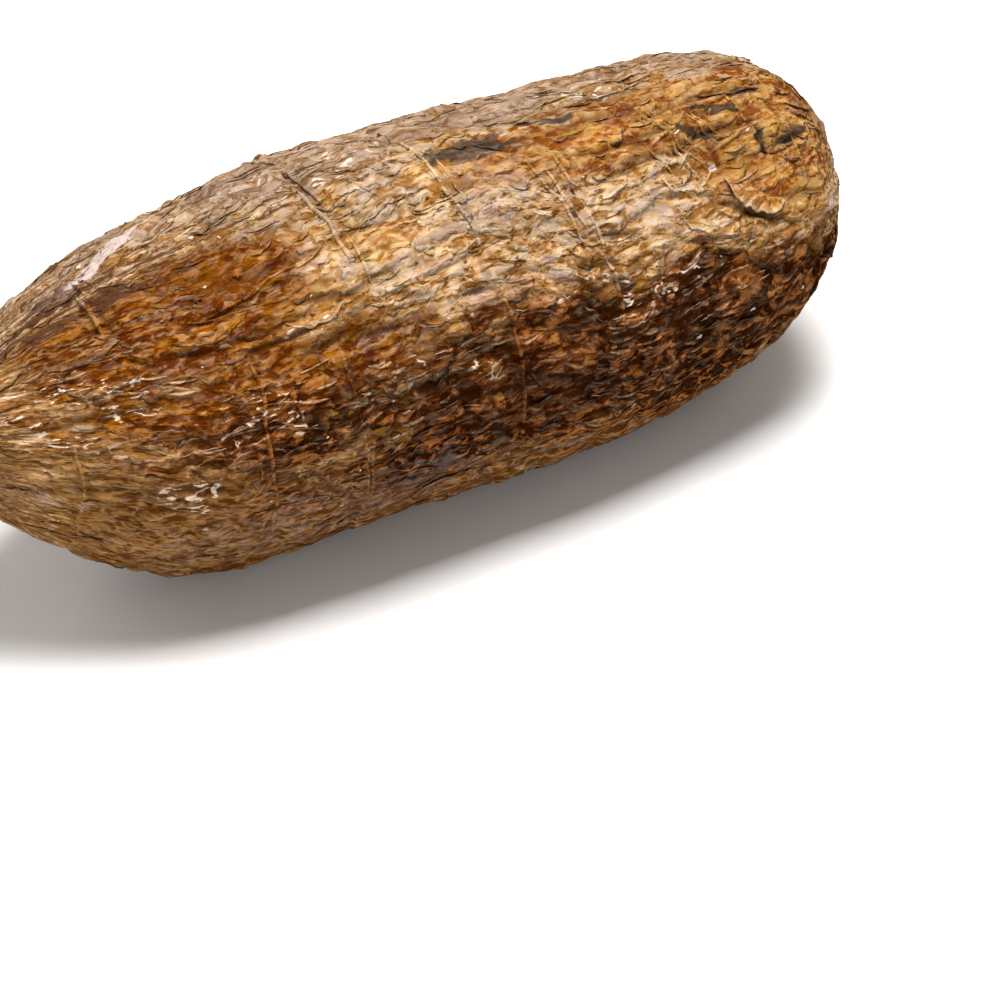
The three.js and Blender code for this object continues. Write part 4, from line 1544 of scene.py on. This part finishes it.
    def flaking(self, along: np.ndarray, angle: np.ndarray, bark: Samples) -> Samples:
        """How thickly each kind of flake grows, from 0 to 1.

        Args:
            along: distance from the tail.
            angle: angle round the girth.
            bark: the bark's samples.

        Returns:
            The densities, by attribute name, and lifting: how far flakes lift.
        """
        turn = np.mod(angle / (2 * np.pi), 1.0)
        clump = smoothstep(-0.25, 0.4, Ripple(26.0, 16, 120, 3)(along, turn))
        height = self.form.place(along, angle * self.form.ridges / (2 * np.pi), np.zeros_like(along))[..., 2]
        clear = smoothstep(4.0, 10.0, height) * smoothstep(12, 26, along) * smoothstep(2, 12, self.form.length - along)
        calm = 1 - np.clip(0.75 * bark["bare"] + 0.7 * bark["dull"] + 0.6 * bark["calm"] + bark["peeled"], 0, 1)
        curled = sum(self.bark.patch(patch, along, angle) for patch in CURLED)
        calm = calm * (1 - 0.8 * bark["striped"])
        return {
            "chips": clear * calm * (1 - 0.5 * bark["golden"]) * (1 - 0.85 * bark["dark"]) * (0.25 + 0.75 * clump),
            "plates": clear * calm * (1 - 0.5 * bark["dark"]) * clump,
            "slivers": clear * (0.3 + 0.7 * bark["waxed"] + 0.3 * bark["dull"]),
            "curls": clear * np.clip(curled, 0, 1) * (0.15 + 0.85 * clump),
            "lifting": np.clip(0.45 + 0.55 * bark["dark"] + 0.3 * bark["golden"] - 0.3 * bark["waxed"], 0, 1),
        }


@dataclass
class FlakeShape:
    """One shape of flake: a closed leaf of bark, held along one long edge.

    Its X runs from -0.5 to 0.5 along the grain and its Y from 0 at the held edge to 1 at the free one.
    It is flat, and its attribute `rise` says how high each vertex will stand over the bark.

    Attributes:
        along: quads along it.
        across: quads across it.
        seed: its outline's seed.
        thickness: as a share of its lift.
        sink: depth of the held edge, as a share of the lift.
        point: how narrow its ends are, from 0 for square.
        pale: how pale its free edge is, partly a painted highlight.
        rolled: how far it rolls over at its free edge, from 0 to 1.
    """

    along: int
    across: int
    seed: int
    thickness: float = 0.28
    sink: float = 0.35
    point: float = 0.75
    pale: float = 0.5
    rolled: float = 0.0

    def build(self, collection: Collection) -> Object:
        """Builds the shape.

        Args:
            collection: what the shape joins.

        Returns:
            The shape's object.
        """
        rng = np.random.default_rng(self.seed)
        u = np.linspace(-1, 1, self.along + 1)
        ragged = 1 + 0.35 * (rng.random(self.along + 1) - 0.5)
        width = (1 - self.point * np.abs(u) ** 2.2) * ragged
        slide = 0.16 * (rng.random(self.across + 1) - 0.5)
        curl = 0.75 + 0.5 * rng.random(self.along + 1)
        v = np.linspace(0, 1, self.across + 1)
        uu, vv = np.meshgrid(np.arange(self.along + 1), np.arange(self.across + 1), indexing="ij")
        x = 0.5 * u[uu] * (1 - 0.12 * v[vv]) + slide[vv]
        y = v[vv] * width[uu]
        opened = (1 - self.rolled) * v[vv] ** 1.4 + self.rolled * np.sin(2 * v[vv])
        rise = -self.sink + (1 + self.sink) * curl[uu] * opened * (1 - 0.4 * np.abs(u[uu]) ** 3)
        # The pale free edge, stored as the rim, is partly a painted highlight.
        free = self.pale * np.maximum(v[vv] ** (3 - 2.4 * self.rolled), np.abs(u[uu]) ** 8)
        top = np.stack([x, y, np.zeros_like(x)], -1).reshape(-1, 3)
        bottom = top * [0.97, 0.97, 1] - [0, 0, 1e-4]
        mesh = bpy.data.meshes.new(f"flake_shape_{self.seed}")
        mesh.from_pydata(np.concatenate([top, bottom]).tolist(), [], leaf_faces(self.along, self.across).tolist())
        rises = rise.ravel()
        set_attribute(mesh, "rise", "FLOAT", np.concatenate([rises, rises - self.thickness]))
        set_attribute(mesh, "rim", "FLOAT", np.tile(np.clip(free.ravel(), 0, 1), 2))
        smooth = np.zeros(len(mesh.polygons), bool)
        smooth[: 2 * self.along * self.across] = True
        mesh.polygons.foreach_set("use_smooth", smooth)
        made = bpy.data.objects.new(mesh.name, mesh)
        collection.objects.link(made)
        return made


@dataclass
class FlakeCoat:
    """A coat of one kind of flake, scattered over the bark and laid onto its relief.

    Attributes:
        name: the piece's name.
        density_name: attribute of the bark that says where they grow.
        per_square_mm: flakes on each square millimetre where they are thickest.
        length: least and greatest length, in millimetres.
        width: least and greatest width.
        lift: least and greatest lift of the free edge.
        turn: radians by which they stray from the grain.
        downward: share of them whose free edge points the same way round.
        shapes: how many shapes there are.
        along: quads along a shape.
        across: quads across it.
        point: how narrow its ends are.
        seed: the scatter's seed.
        tone: how much darker or paler than the bark they are.
        pale: how pale their free edges are, partly a painted highlight.
        rolled: how far they roll over at their free edges.
        hover: height from which a flake is laid onto the bark.
    """

    name: str
    density_name: str
    per_square_mm: float
    length: Pair
    width: Pair
    lift: Pair
    turn: float
    downward: float
    shapes: int
    along: int
    across: int
    point: float
    seed: int
    tone: Pair = (-0.45, 0.45)
    pale: float = 0.5
    rolled: float = 0.0
    hover: float = 4.0

    def tree(self) -> NodeTree:
        """Builds the tree that scatters, sizes, turns and lays the flakes."""
        sockets = {"Bark": "Object", "Shapes": "Collection", "Density": "Float", "Least size": "Vector"}
        sockets |= {"Greatest size": "Vector", "Turn": "Float", "Downward": "Float", "Seed": "Int"}
        tree = new_tree(self.name, sockets | {"Finish": "Material"})
        add = partial(wire, tree)
        given = tree.nodes.new("NodeGroupInput").outputs
        skin = add("GeometryNodeObjectInfo", (given["Bark"],), out="Geometry")
        read = {}
        kinds = {"outward": "FLOAT_VECTOR", "run": "FLOAT_VECTOR", "facing": "FLOAT_VECTOR"}
        kinds |= {name: "FLOAT" for name in (self.density_name, "lifting", "rise", "flake_lift")}
        for name, kind in kinds.items():
            read[name] = add(NAMED, (name,), data_type=kind)
        chance = []
        for k, (low, high) in enumerate(((0.0, 1.0), (-1.0, 1.0), self.tone)):
            inputs = {2: low, 3: high, "Seed": self.seed * 10 + k}
            chance.append(add("FunctionNodeRandomValue", inputs, out=1, data_type="FLOAT"))

        # Where each flake grows, how large it is and how far it lifts.
        density = add(MULTIPLY, (read[self.density_name], given["Density"]))
        inputs = {"Mesh": skin, "Density": density, "Seed": given["Seed"]}
        points = add("GeometryNodeDistributePointsOnFaces", inputs)
        inputs = {0: given["Least size"], 1: given["Greatest size"], "Seed": self.seed * 10 + 7}
        size = add("FunctionNodeRandomValue", inputs, data_type="FLOAT_VECTOR")
        parts = add("ShaderNodeSeparateXYZ", (size,)).node.outputs
        held = add(MULTIPLY_ADD, (read["lifting"], 0.8, 0.3))
        lift = add(MULTIPLY, (parts[2], held))
        kept = (("facing", "FLOAT_VECTOR", read["outward"]), ("flake_lift", "FLOAT", lift))
        for name, kind, value in (*kept, ("flake_tone", "FLOAT", chance[2])):
            inputs = {"Geometry": points, "Name": name, "Value": value}
            points = add(STORE, inputs, data_type=kind, domain="POINT")

        # Each flake lies along the grain, give or take, and most lift on the same side.
        inputs = (read["outward"], read["run"])
        laid = add("FunctionNodeAxesToRotation", inputs, primary_axis="Z", secondary_axis="X")
        other = add(MATH, (chance[0], given["Downward"]), operation="GREATER_THAN")
        stray = add(MULTIPLY, (chance[1], given["Turn"]))
        spin = add(MULTIPLY_ADD, (other, float(np.pi), stray))
        spin = add(ADD, (spin, float(np.pi)))
        spun = add("FunctionNodeAxisAngleToRotation", {"Axis": (0.0, 0.0, 1.0), "Angle": spin})
        turned = add("FunctionNodeRotateRotation", (laid, spun), rotation_space="LOCAL")
        inputs = {0: given["Shapes"], "Separate Children": True, "Reset Children": True}
        shapes = add("GeometryNodeCollectionInfo", inputs)
        inputs = {4: 0, 5: self.shapes - 1, "Seed": self.seed * 10 + 8}
        pick = add("FunctionNodeRandomValue", inputs, out=2, data_type="INT")
        flat = add("ShaderNodeCombineXYZ", (parts[0], parts[1], 1.0))
        inputs = {"Points": points, "Instance": shapes, "Pick Instance": True, "Instance Index": pick}
        scattered = add("GeometryNodeInstanceOnPoints", inputs | {"Rotation": turned, "Scale": flat})
        leaves = add("GeometryNodeRealizeInstances", (scattered,))

        # Every vertex is dropped onto the bark, then raised by its own share of the lift.
        met = laid_on(tree, skin, read["facing"], self.hover * MM)
        rise = add(MULTIPLY, (read["rise"], read["flake_lift"]))
        raised = add(VECTOR, {0: read["facing"], "Scale": rise}, operation="SCALE")
        raised = add(VECTOR, (met, raised), operation="ADD")
        leaves = add(SET_POSITION, {"Geometry": leaves, "Position": raised})
        leaves = copied_looks(tree, leaves, skin)
        leaves = add("GeometryNodeSetMaterial", {"Geometry": leaves, "Material": given["Finish"]})
        add("NodeGroupOutput", (leaves,))
        return tree

    def build(self, skin: Object, material: Material) -> Object:
        """Scatters the flakes and returns them as a plain mesh.

        Args:
            skin: the bark that they grow from.
            material: their finish.

        Returns:
            The coat's object.
        """
        collection = bpy.data.collections.new(f"{self.name}_shapes")
        shape = FlakeShape(self.along, self.across, 0, point=self.point, pale=self.pale, rolled=self.rolled)
        made = [replace(shape, seed=self.seed * 100 + k).build(collection) for k in range(self.shapes)]
        least, greatest = zip(self.length, self.width, self.lift)
        values = {
            "Bark": skin,
            "Shapes": collection,
            "Density": self.per_square_mm / MM**2,
            "Least size": [v * MM for v in least],
            "Greatest size": [v * MM for v in greatest],
            "Turn": self.turn,
            "Downward": self.downward,
            "Seed": self.seed,
            "Finish": material,
        }
        coat = grow(self.name, bpy.data.meshes.new(self.name), self.tree(), values)
        for shape in made:
            bpy.data.objects.remove(shape)
        bpy.data.collections.remove(collection)
        return coat


@dataclass
class BarkThreads:
    """The threads of bark, stretched over its relief."""

    form: RootForm
    material: Material
    sides: int = 6
    rise: float = 0.1  # mm between the bark and a thread's middle
    slack: int = 2  # how far a thread smooths over the bark's bumps
    tone: float = 0.65

    def guide(self) -> Mesh:
        """One line of vertices for each thread, with its direction out of the bark and its thickness."""
        points, edges, facing, thick, start = [], [], [], [], 0
        for number, thread in enumerate(THREADS):
            along, ridge = thread.path(self.form, number)
            count = len(along)
            flat = np.zeros(count)
            place = self.form.place(along, ridge, flat)
            aside = self.form.place(along, ridge + 0.1, flat) - place
            out = np.cross(aside, self.form.place(along + 1, ridge, flat) - place)
            ends = np.clip(np.minimum(np.arange(count), np.arange(count)[::-1]) / 4, 0, 1)
            broken = smoothstep(-0.5, 0.05, lattice_noise(along / 5, ridge * 1.1, 64, 131 + number))
            points.append(place)
            edges += [(start + k, start + k + 1) for k in range(count - 1)]
            facing.append(out / np.linalg.norm(out, axis=-1, keepdims=True))
            broken = np.maximum(broken, thread.whole)
            thick.append(thread.thick * (0.1 + 0.9 * ends * broken))
            start += count
        mesh = bpy.data.meshes.new("thread_guides")
        mesh.from_pydata((np.concatenate(points) * MM).tolist(), edges, [])
        set_attribute(mesh, "facing", "FLOAT_VECTOR", np.concatenate(facing))
        set_attribute(mesh, "thick", "FLOAT", np.concatenate(thick) * MM)
        return mesh

    def tree(self) -> NodeTree:
        """Builds the tree that lays the lines on the bark and gives them a round section."""
        sockets = {"Bark": "Object", "Sides": "Int", "Rise": "Float", "Slack": "Int", "Tone": "Float"}
        tree = new_tree("bark_threads", sockets | {"Finish": "Material"})
        add = partial(wire, tree)
        given = tree.nodes.new("NodeGroupInput").outputs
        skin = add("GeometryNodeObjectInfo", (given["Bark"],), out="Geometry")
        facing = add(NAMED, ("facing",), data_type="FLOAT_VECTOR")
        thick = add(NAMED, ("thick",), data_type="FLOAT")
        met = laid_on(tree, skin, facing, 5 * MM)
        raised = add(VECTOR, {0: facing, "Scale": given["Rise"]}, operation="SCALE")
        raised = add(VECTOR, (met, raised), operation="ADD")
        lines = add(SET_POSITION, {"Geometry": given["Guide"], "Position": raised})
        place = add("GeometryNodeInputPosition")
        eased = add("GeometryNodeBlurAttribute", (place, given["Slack"]), data_type="FLOAT_VECTOR")
        lines = add(SET_POSITION, {"Geometry": lines, "Position": eased})
        curves = add("GeometryNodeMeshToCurve", (lines,))
        section = add("GeometryNodeCurvePrimitiveCircle", {0: given["Sides"], "Radius": 1.0})
        inputs = {"Curve": curves, "Profile Curve": section, "Scale": thick, "Fill Caps": True}
        threads = add("GeometryNodeCurveToMesh", inputs)
        threads = copied_looks(tree, threads, skin)
        inputs = {"Geometry": threads, "Name": "flake_tone", "Value": given["Tone"]}
        threads = add(STORE, inputs, data_type="FLOAT", domain="POINT")
        threads = add("GeometryNodeSetShadeSmooth", (threads,))
        threads = add("GeometryNodeRealizeInstances", (threads,))
        threads = add("GeometryNodeSetMaterial", {"Geometry": threads, "Material": given["Finish"]})
        add("NodeGroupOutput", (threads,))
        return tree

    def build(self, skin: Object) -> Object:
        """Builds the threads.

        Args:
            skin: the bark that they cross.

        Returns:
            The threads' object.
        """
        values = {
            "Bark": skin,
            "Sides": self.sides,
            "Rise": self.rise * MM,
            "Slack": self.slack,
            "Tone": self.tone,
            "Finish": self.material,
        }
        return grow("bark_threads", self.guide(), self.tree(), values)


@dataclass(frozen=True)
class TornPlate:
    """A large torn plate of bark, held along one side and lifted along the other.

    Attributes:
        along: distance of its middle from the tail.
        ridge: ridge of its held side.
        length: length along the grain.
        width: width across it, towards higher ridges where positive.
        lift: height of the free edge.
        turn: radians by which it is turned from the grain.
        seed: its outline's seed.
    """

    along: float
    ridge: float
    length: float
    width: float
    lift: float
    turn: float
    seed: int


TORN_PLATES = (
    TornPlate(212.4, 8.5, 20.0, 6.8, 2.8, 0.58, 1),
    TornPlate(195.0, 7.6, 16.0, 6.0, 0.5, 0.3, 2),
    TornPlate(196.0, 8.6, 17.0, 6.0, 0.4, 0.3, 3),
    TornPlate(118.5, 3.1, 5.5, 3.0, 1.5, 0.3, 5),
    TornPlate(97.0, 7.9, 15.0, 5.0, 0.4, 0.1, 10),
    TornPlate(150.0, 17.2, 20.0, 7.0, 1.8, 0.1, 7),
    TornPlate(200.0, 1.2, 18.0, -6.5, 1.8, -0.1, 8),
    TornPlate(92.0, 19.5, 16.0, 6.0, 1.5, 0.1, 9),
)


@dataclass
class TornPlates:
    """The few plates of bark that have torn loose along one side."""

    form: RootForm
    bark: FineBark
    material: Material
    along: int = 34
    across: int = 12
    thickness: float = 0.35
    sink: float = 0.5  # depth of the held side below the bark

    def sheet(self, plate: TornPlate) -> tuple[np.ndarray, Samples]:
        """One plate's two faces.

        Args:
            plate: where it is and how it lifts.

        Returns:
            Points of shape (2, along + 1, across + 1, 3) and the attributes' grids.
        """
        u = np.linspace(-1, 1, self.along + 1)[:, None]
        v = np.linspace(0, 1, self.across + 1)[None, :]
        ragged = lattice_noise(u * 6 + 20, v * 0, 8, plate.seed)
        ragged = ragged + 0.5 * lattice_noise(u * 15, v * 0, 8, plate.seed + 50)
        reach = plate.width * (1 - 0.75 * np.abs(u) ** 3) * (1 + 0.1 * ragged)
        ahead = u * plate.length / 2 * (1 - 0.1 * v)
        aside = v * reach
        cos, sin = np.cos(plate.turn), np.sin(plate.turn)
        along = plate.along + cos * ahead - sin * aside
        per_ridge = 2 * np.pi * self.form.radius(along) / self.form.ridges
        ridge = plate.ridge + (sin * ahead + cos * aside) / per_ridge
        bark = self.bark.sample(along, ridge)
        eased = bark["height"]
        for _ in range(6):
            padded = np.pad(eased, 1, mode="edge")
            eased = (padded[:-2, 1:-1] + padded[2:, 1:-1] + padded[1:-1, :-2] + padded[1:-1, 2:] + eased) / 5
        curl = 1 + 0.35 * lattice_noise(u * 4 + 7, v * 0, 8, plate.seed + 9)
        rise = plate.lift * curl * v**1.5 * (1 - 0.55 * np.abs(u) ** 3) - self.sink * (1 - v) ** 2
        wrinkle = 0.22 * self.bark.wrinkle(along, ridge / self.form.ridges)
        top = self.form.place(along, ridge, eased + rise + wrinkle)
        under = self.form.place(along, ridge, eased + rise + wrinkle - self.thickness)
        angle = self.form.angle(along, ridge)
        girth = self.bark.girth_radius
        bark = bark | {"crack": 0.2 * bark["crack"], "calm": np.ones_like(along)}
        shares = {name: np.stack([bark[k] for k in keys], -1) for name, keys in CHANNELS.items()}
        # The free edges take a pale rim, partly a painted highlight.
        free = np.clip(np.maximum(v + 0 * u, np.abs(u) + 0 * v) ** 8, 0, 1)
        fields = {"grain": np.stack([along, girth * np.cos(angle), girth * np.sin(angle)], -1), **shares}
        fields |= {"rim": free, "flake_tone": np.full(free.shape, 0.35)}
        return np.stack([top, under]), fields

    def build(self) -> Object:
        """Builds all the plates as one piece."""
        points, faces, fields = [], [], {}
        count = (self.along + 1) * (self.across + 1)
        shape = leaf_faces(self.along, self.across)
        for k, plate in enumerate(TORN_PLATES):
            sheet, own = self.sheet(plate)
            points.append(sheet.reshape(-1, 3))
            turned = shape if plate.width > 0 else shape[:, ::-1]
            faces.append(turned + 2 * count * k)
            for name, grid in own.items():
                flat = grid.reshape(count, *grid.shape[2:])
                # A plate's underside is coloured darker by a lower tone: painted shade.
                hidden = flat - 1.0 if name == "flake_tone" else flat
                fields.setdefault(name, []).extend([flat, hidden])
        made = mesh_object("torn_plates", np.concatenate(points), np.concatenate(faces), self.material)
        kinds = {"grain": "FLOAT_VECTOR", "rim": "FLOAT", "flake_tone": "FLOAT"}
        for name, grids in fields.items():
            set_attribute(made.data, name, kinds.get(name, "FLOAT_COLOR"), np.concatenate(grids))
        return made


@dataclass
class StemScar:
    """The wood of the neck where the root was cut from its stem: rings, rays and a soft pith."""

    form: RootForm
    material: Material
    rings: int = 18
    segments: int = 72
    radius: float = 8.3
    out: float = 2.1  # how far it stands past the form's end
    back: float = 1.5  # how far its hidden back lies behind the form's end
    pith: float = 1.3

    def build(self) -> Object:
        """Builds the scar as one closed disc."""
        neck = self.form.length
        turn = np.arange(self.segments)[None, :] / self.segments
        share = (np.arange(1, self.rings + 1) / self.rings)[:, None]
        spot = np.full((self.rings, self.segments), neck)
        ridge = turn * self.form.ridges + 0 * share
        middle = self.form.place(spot, ridge, -self.form.radius(spot))
        edge = self.form.place(spot, ridge, np.zeros_like(spot))
        distance = share * self.radius
        ragged = 1 + 0.06 * lattice_noise(turn * 30 + 0 * share, 0 * share + 0 * turn, 4, 140)
        points = middle + (edge - middle) * (distance / self.form.neck_radius * ragged)[..., None]
        rays = lattice_noise(turn * 22 + 0 * share, distance * 0.4 + 0 * turn, 64, 141)
        bands = np.sin(distance * 2 * np.pi / 1.3 + 1.5 * rays)
        torn = lattice_noise(turn * 9 + 0 * share, distance * 0.8 + 0 * turn, 64, 142)
        rise = 0.14 * bands + 0.16 * rays + 0.4 * torn * share - 0.9 * np.exp(-((distance / self.pith) ** 2))
        points[..., 0] = middle[..., 0] + (edge - middle)[..., 0] * share + self.out + rise
        front = points.reshape(-1, 3)
        centre = middle[0, 0] + [self.out - 0.9, 0, 0]
        rear = middle[0, 0] - [self.back, 0, 0]
        faces = tube_faces(self.rings, self.segments, turned=True)
        made = mesh_object("stem_scar", np.concatenate([front, [centre, rear]]), faces, self.material)
        flat = np.broadcast_to(distance, spot.shape).reshape(-1)
        around = np.broadcast_to(turn, spot.shape).reshape(-1) * 2 * np.pi
        disc = np.stack([flat, np.cos(around), np.sin(around)], -1)
        set_attribute(made.data, "disc", "FLOAT_VECTOR", np.concatenate([disc, [[0, 0, 0], [0, 0, 0]]]))
        return made


@dataclass
class TailTuft:
    """The frayed fibres where the root's thin tail snapped off."""

    form: RootForm
    material: Material
    count: int = 110
    length: Pair = (1.5, 5.0)
    thickness: Pair = (0.16, 0.42)
    spread: float = 0.35  # how far the fibres splay from the root's direction
    seed: int = 150

    def guide(self) -> Mesh:
        """One vertex for each fibre, with its direction, its length and its thickness."""
        rng = np.random.default_rng(self.seed)
        zero = np.zeros(1)
        middle = self.form.place(zero, zero, -self.form.radius(zero))[0]
        distance = 0.86 * self.form.tail_radius * np.sqrt(rng.random(self.count))
        around = 2 * np.pi * rng.random(self.count)
        across = np.stack([0 * around, np.cos(around), np.sin(around)], -1)
        points = middle + across * distance[:, None] + [0.6, 0, 0]
        out = [-1, 0, 0] + across * (self.spread * distance / self.form.tail_radius)[:, None]
        out = out + 0.12 * rng.standard_normal((self.count, 3))
        mesh = bpy.data.meshes.new("tail_guides")
        mesh.from_pydata((points * MM).tolist(), [], [])
        set_attribute(mesh, "facing", "FLOAT_VECTOR", out / np.linalg.norm(out, axis=-1, keepdims=True))
        low, high = self.length
        reach = low + (high - low) * rng.random(self.count) ** 2
        low, high = self.thickness
        thick = low + (high - low) * rng.random(self.count)
        set_attribute(mesh, "size", "FLOAT_VECTOR", np.stack([thick, thick, reach + 1.0], -1) * MM)
        return mesh

    def tree(self) -> NodeTree:
        """Builds the tree that stands a tapered fibre on each vertex."""
        tree = new_tree("tail_tuft", {"Sides": "Int", "Finish": "Material"})
        add = partial(wire, tree)
        given = tree.nodes.new("NodeGroupInput").outputs
        facing = add(NAMED, ("facing",), data_type="FLOAT_VECTOR")
        size = add(NAMED, ("size",), data_type="FLOAT_VECTOR")
        inputs = {"Vertices": given["Sides"], "Side Segments": 3, "Depth": 1.0}
        fibre = add("GeometryNodeMeshCone", inputs | {"Radius Top": 0.25, "Radius Bottom": 1.0})
        laid = add("FunctionNodeAlignRotationToVector", {"Vector": facing}, axis="Z")
        inputs = {"Points": given["Guide"], "Instance": fibre, "Rotation": laid, "Scale": size}
        tuft = add("GeometryNodeInstanceOnPoints", inputs)
        tuft = add("GeometryNodeRealizeInstances", (tuft,))
        tuft = add("GeometryNodeSetMaterial", {"Geometry": tuft, "Material": given["Finish"]})
        add("NodeGroupOutput", (tuft,))
        return tree

    def build(self) -> Object:
        """Builds the tuft."""
        return grow("tail_tuft", self.guide(), self.tree(), {"Sides": 5, "Finish": self.material})


# ---- Studio ----


@dataclass(frozen=True)
class SoftBox:
    """A square softbox: where it stands and what it faces, in metres, its side and its power."""

    name: str
    place: tuple[float, float, float]
    target: tuple[float, float, float]
    side: float
    watts: float
    colour: str = "#FFFFFF"

    def build(self) -> None:
        """Adds the light."""
        light = bpy.data.lights.new(self.name, "AREA")
        light.shape = "SQUARE"
        light.size = self.side
        light.energy = self.watts
        light.color = linear(self.colour)[:3]
        made = bpy.data.objects.new(self.name, light)
        aim = Vector(self.target) - Vector(self.place)
        made.matrix_world = Matrix.Translation(self.place) @ aim.to_track_quat("-Z", "Y").to_matrix().to_4x4()
        bpy.context.scene.collection.objects.link(made)


@dataclass
class Studio:
    """White sweep, soft light from above and behind on the left, and the camera."""

    floor_side: float = 16.0
    sky: str = "#FFFFFF"
    sky_strength: float = 0.3
    azimuth: float = -33.875  # degrees
    elevation: float = 35.0
    distance: float = 0.750
    aim: tuple[float, float, float] = (-0.0012, 0.0012, 0.0395)
    shift_right: float = 0.02973
    shift_up: float = -0.03828
    focal_mm: float = 116.9
    boxes: tuple[SoftBox, ...] = (
        SoftBox("key_softbox", (0.10, 0.0, 1.20), (0.0, 0.0, 0.04), 0.55, 26.0),
        SoftBox("rim_softbox", (-0.35, 0.95, 0.55), (0.0, 0.0, 0.04), 0.7, 5.0),
        SoftBox("front_fill", (-0.80, -0.90, 0.50), (0.0, 0.0, 0.04), 0.6, 5.0),
    )

    def build(self) -> None:
        """Adds the floor, the lights, the sky and the camera."""
        half = self.floor_side / 2 / MM
        corners = np.array([[-half, -half, 0], [half, -half, 0], [half, half, 0], [-half, half, 0]])
        floor = mesh_object("studio_floor", corners, [[0, 1, 2, 3]], FloorFinish().build())
        for box in self.boxes:
            box.build()
        world = bpy.data.worlds.new("studio_sky")
        world.use_nodes = True
        background = world.node_tree.nodes["Background"]
        background.inputs["Color"].default_value = linear(self.sky)
        background.inputs["Strength"].default_value = self.sky_strength
        bpy.context.scene.world = world
        self.add_camera()
        bpy.context.scene.view_settings.view_transform = "Standard"

    def add_camera(self) -> None:
        """Adds the camera, level, looking down at the root."""
        turn, tilt = np.radians(self.azimuth), np.radians(self.elevation)
        back = Vector((np.sin(turn) * np.cos(tilt), -np.cos(turn) * np.cos(tilt), np.sin(tilt)))
        right = Vector((np.cos(turn), np.sin(turn), 0.0))
        up = back.cross(right)
        place = Vector(self.aim) + back * self.distance + right * self.shift_right + up * self.shift_up
        camera = bpy.data.cameras.new("camera")
        camera.lens = self.focal_mm
        camera.sensor_width = 36.0
        camera.clip_end = 60.0
        made = bpy.data.objects.new("camera", camera)
        axes = Matrix((right, up, back)).transposed()
        made.matrix_world = Matrix.Translation(place) @ axes.to_4x4()
        bpy.context.scene.collection.objects.link(made)
        bpy.context.scene.camera = made


# ---- The whole ----


def main() -> None:
    """Builds the root and its studio."""
    form = RootForm()
    bark = FineBark(form, CoarseRelief(form))
    finish = BarkFinish().build()
    skin = BarkSkin(form, bark, finish).build()
    coats = (
        FlakeCoat("bark_chips", "chips", 0.035, (3.0, 8.0), (1.0, 2.6), (0.3, 0.8), 0.25, 0.7, 10, 4, 2, 0.7, 1),
        FlakeCoat("bark_plates", "plates", 0.011, (8.0, 19.0), (2.2, 5.4), (0.4, 1.0), 0.2, 0.7, 8, 7, 3, 0.6, 2),
        FlakeCoat("bark_slivers", "slivers", 0.022, (4.0, 11.0), (0.6, 1.4), (0.25, 0.8), 0.2, 0.6, 8, 6, 1, 0.9, 3),
        FlakeCoat(
            "bark_curls", "curls", 0.04, (2.0, 8.5), (0.4, 0.85), (0.3, 0.75), 0.2, 0.8, 10, 6, 3, 0.5, 4,
            tone=(-0.3, 1.0), pale=0.8, rolled=1.0,
        ),
    )
    pieces = [coat.build(skin, finish) for coat in coats]
    pieces.append(BarkThreads(form, finish).build(skin))
    pieces.append(TornPlates(form, bark, finish).build())
    wood = WoodFinish().build()
    pieces.append(StemScar(form, wood).build())
    pieces.append(TailTuft(form, wood).build())
    for piece in (skin, *pieces):
        attach(piece)
    Studio().build()


if __name__ == "__main__":
    main()
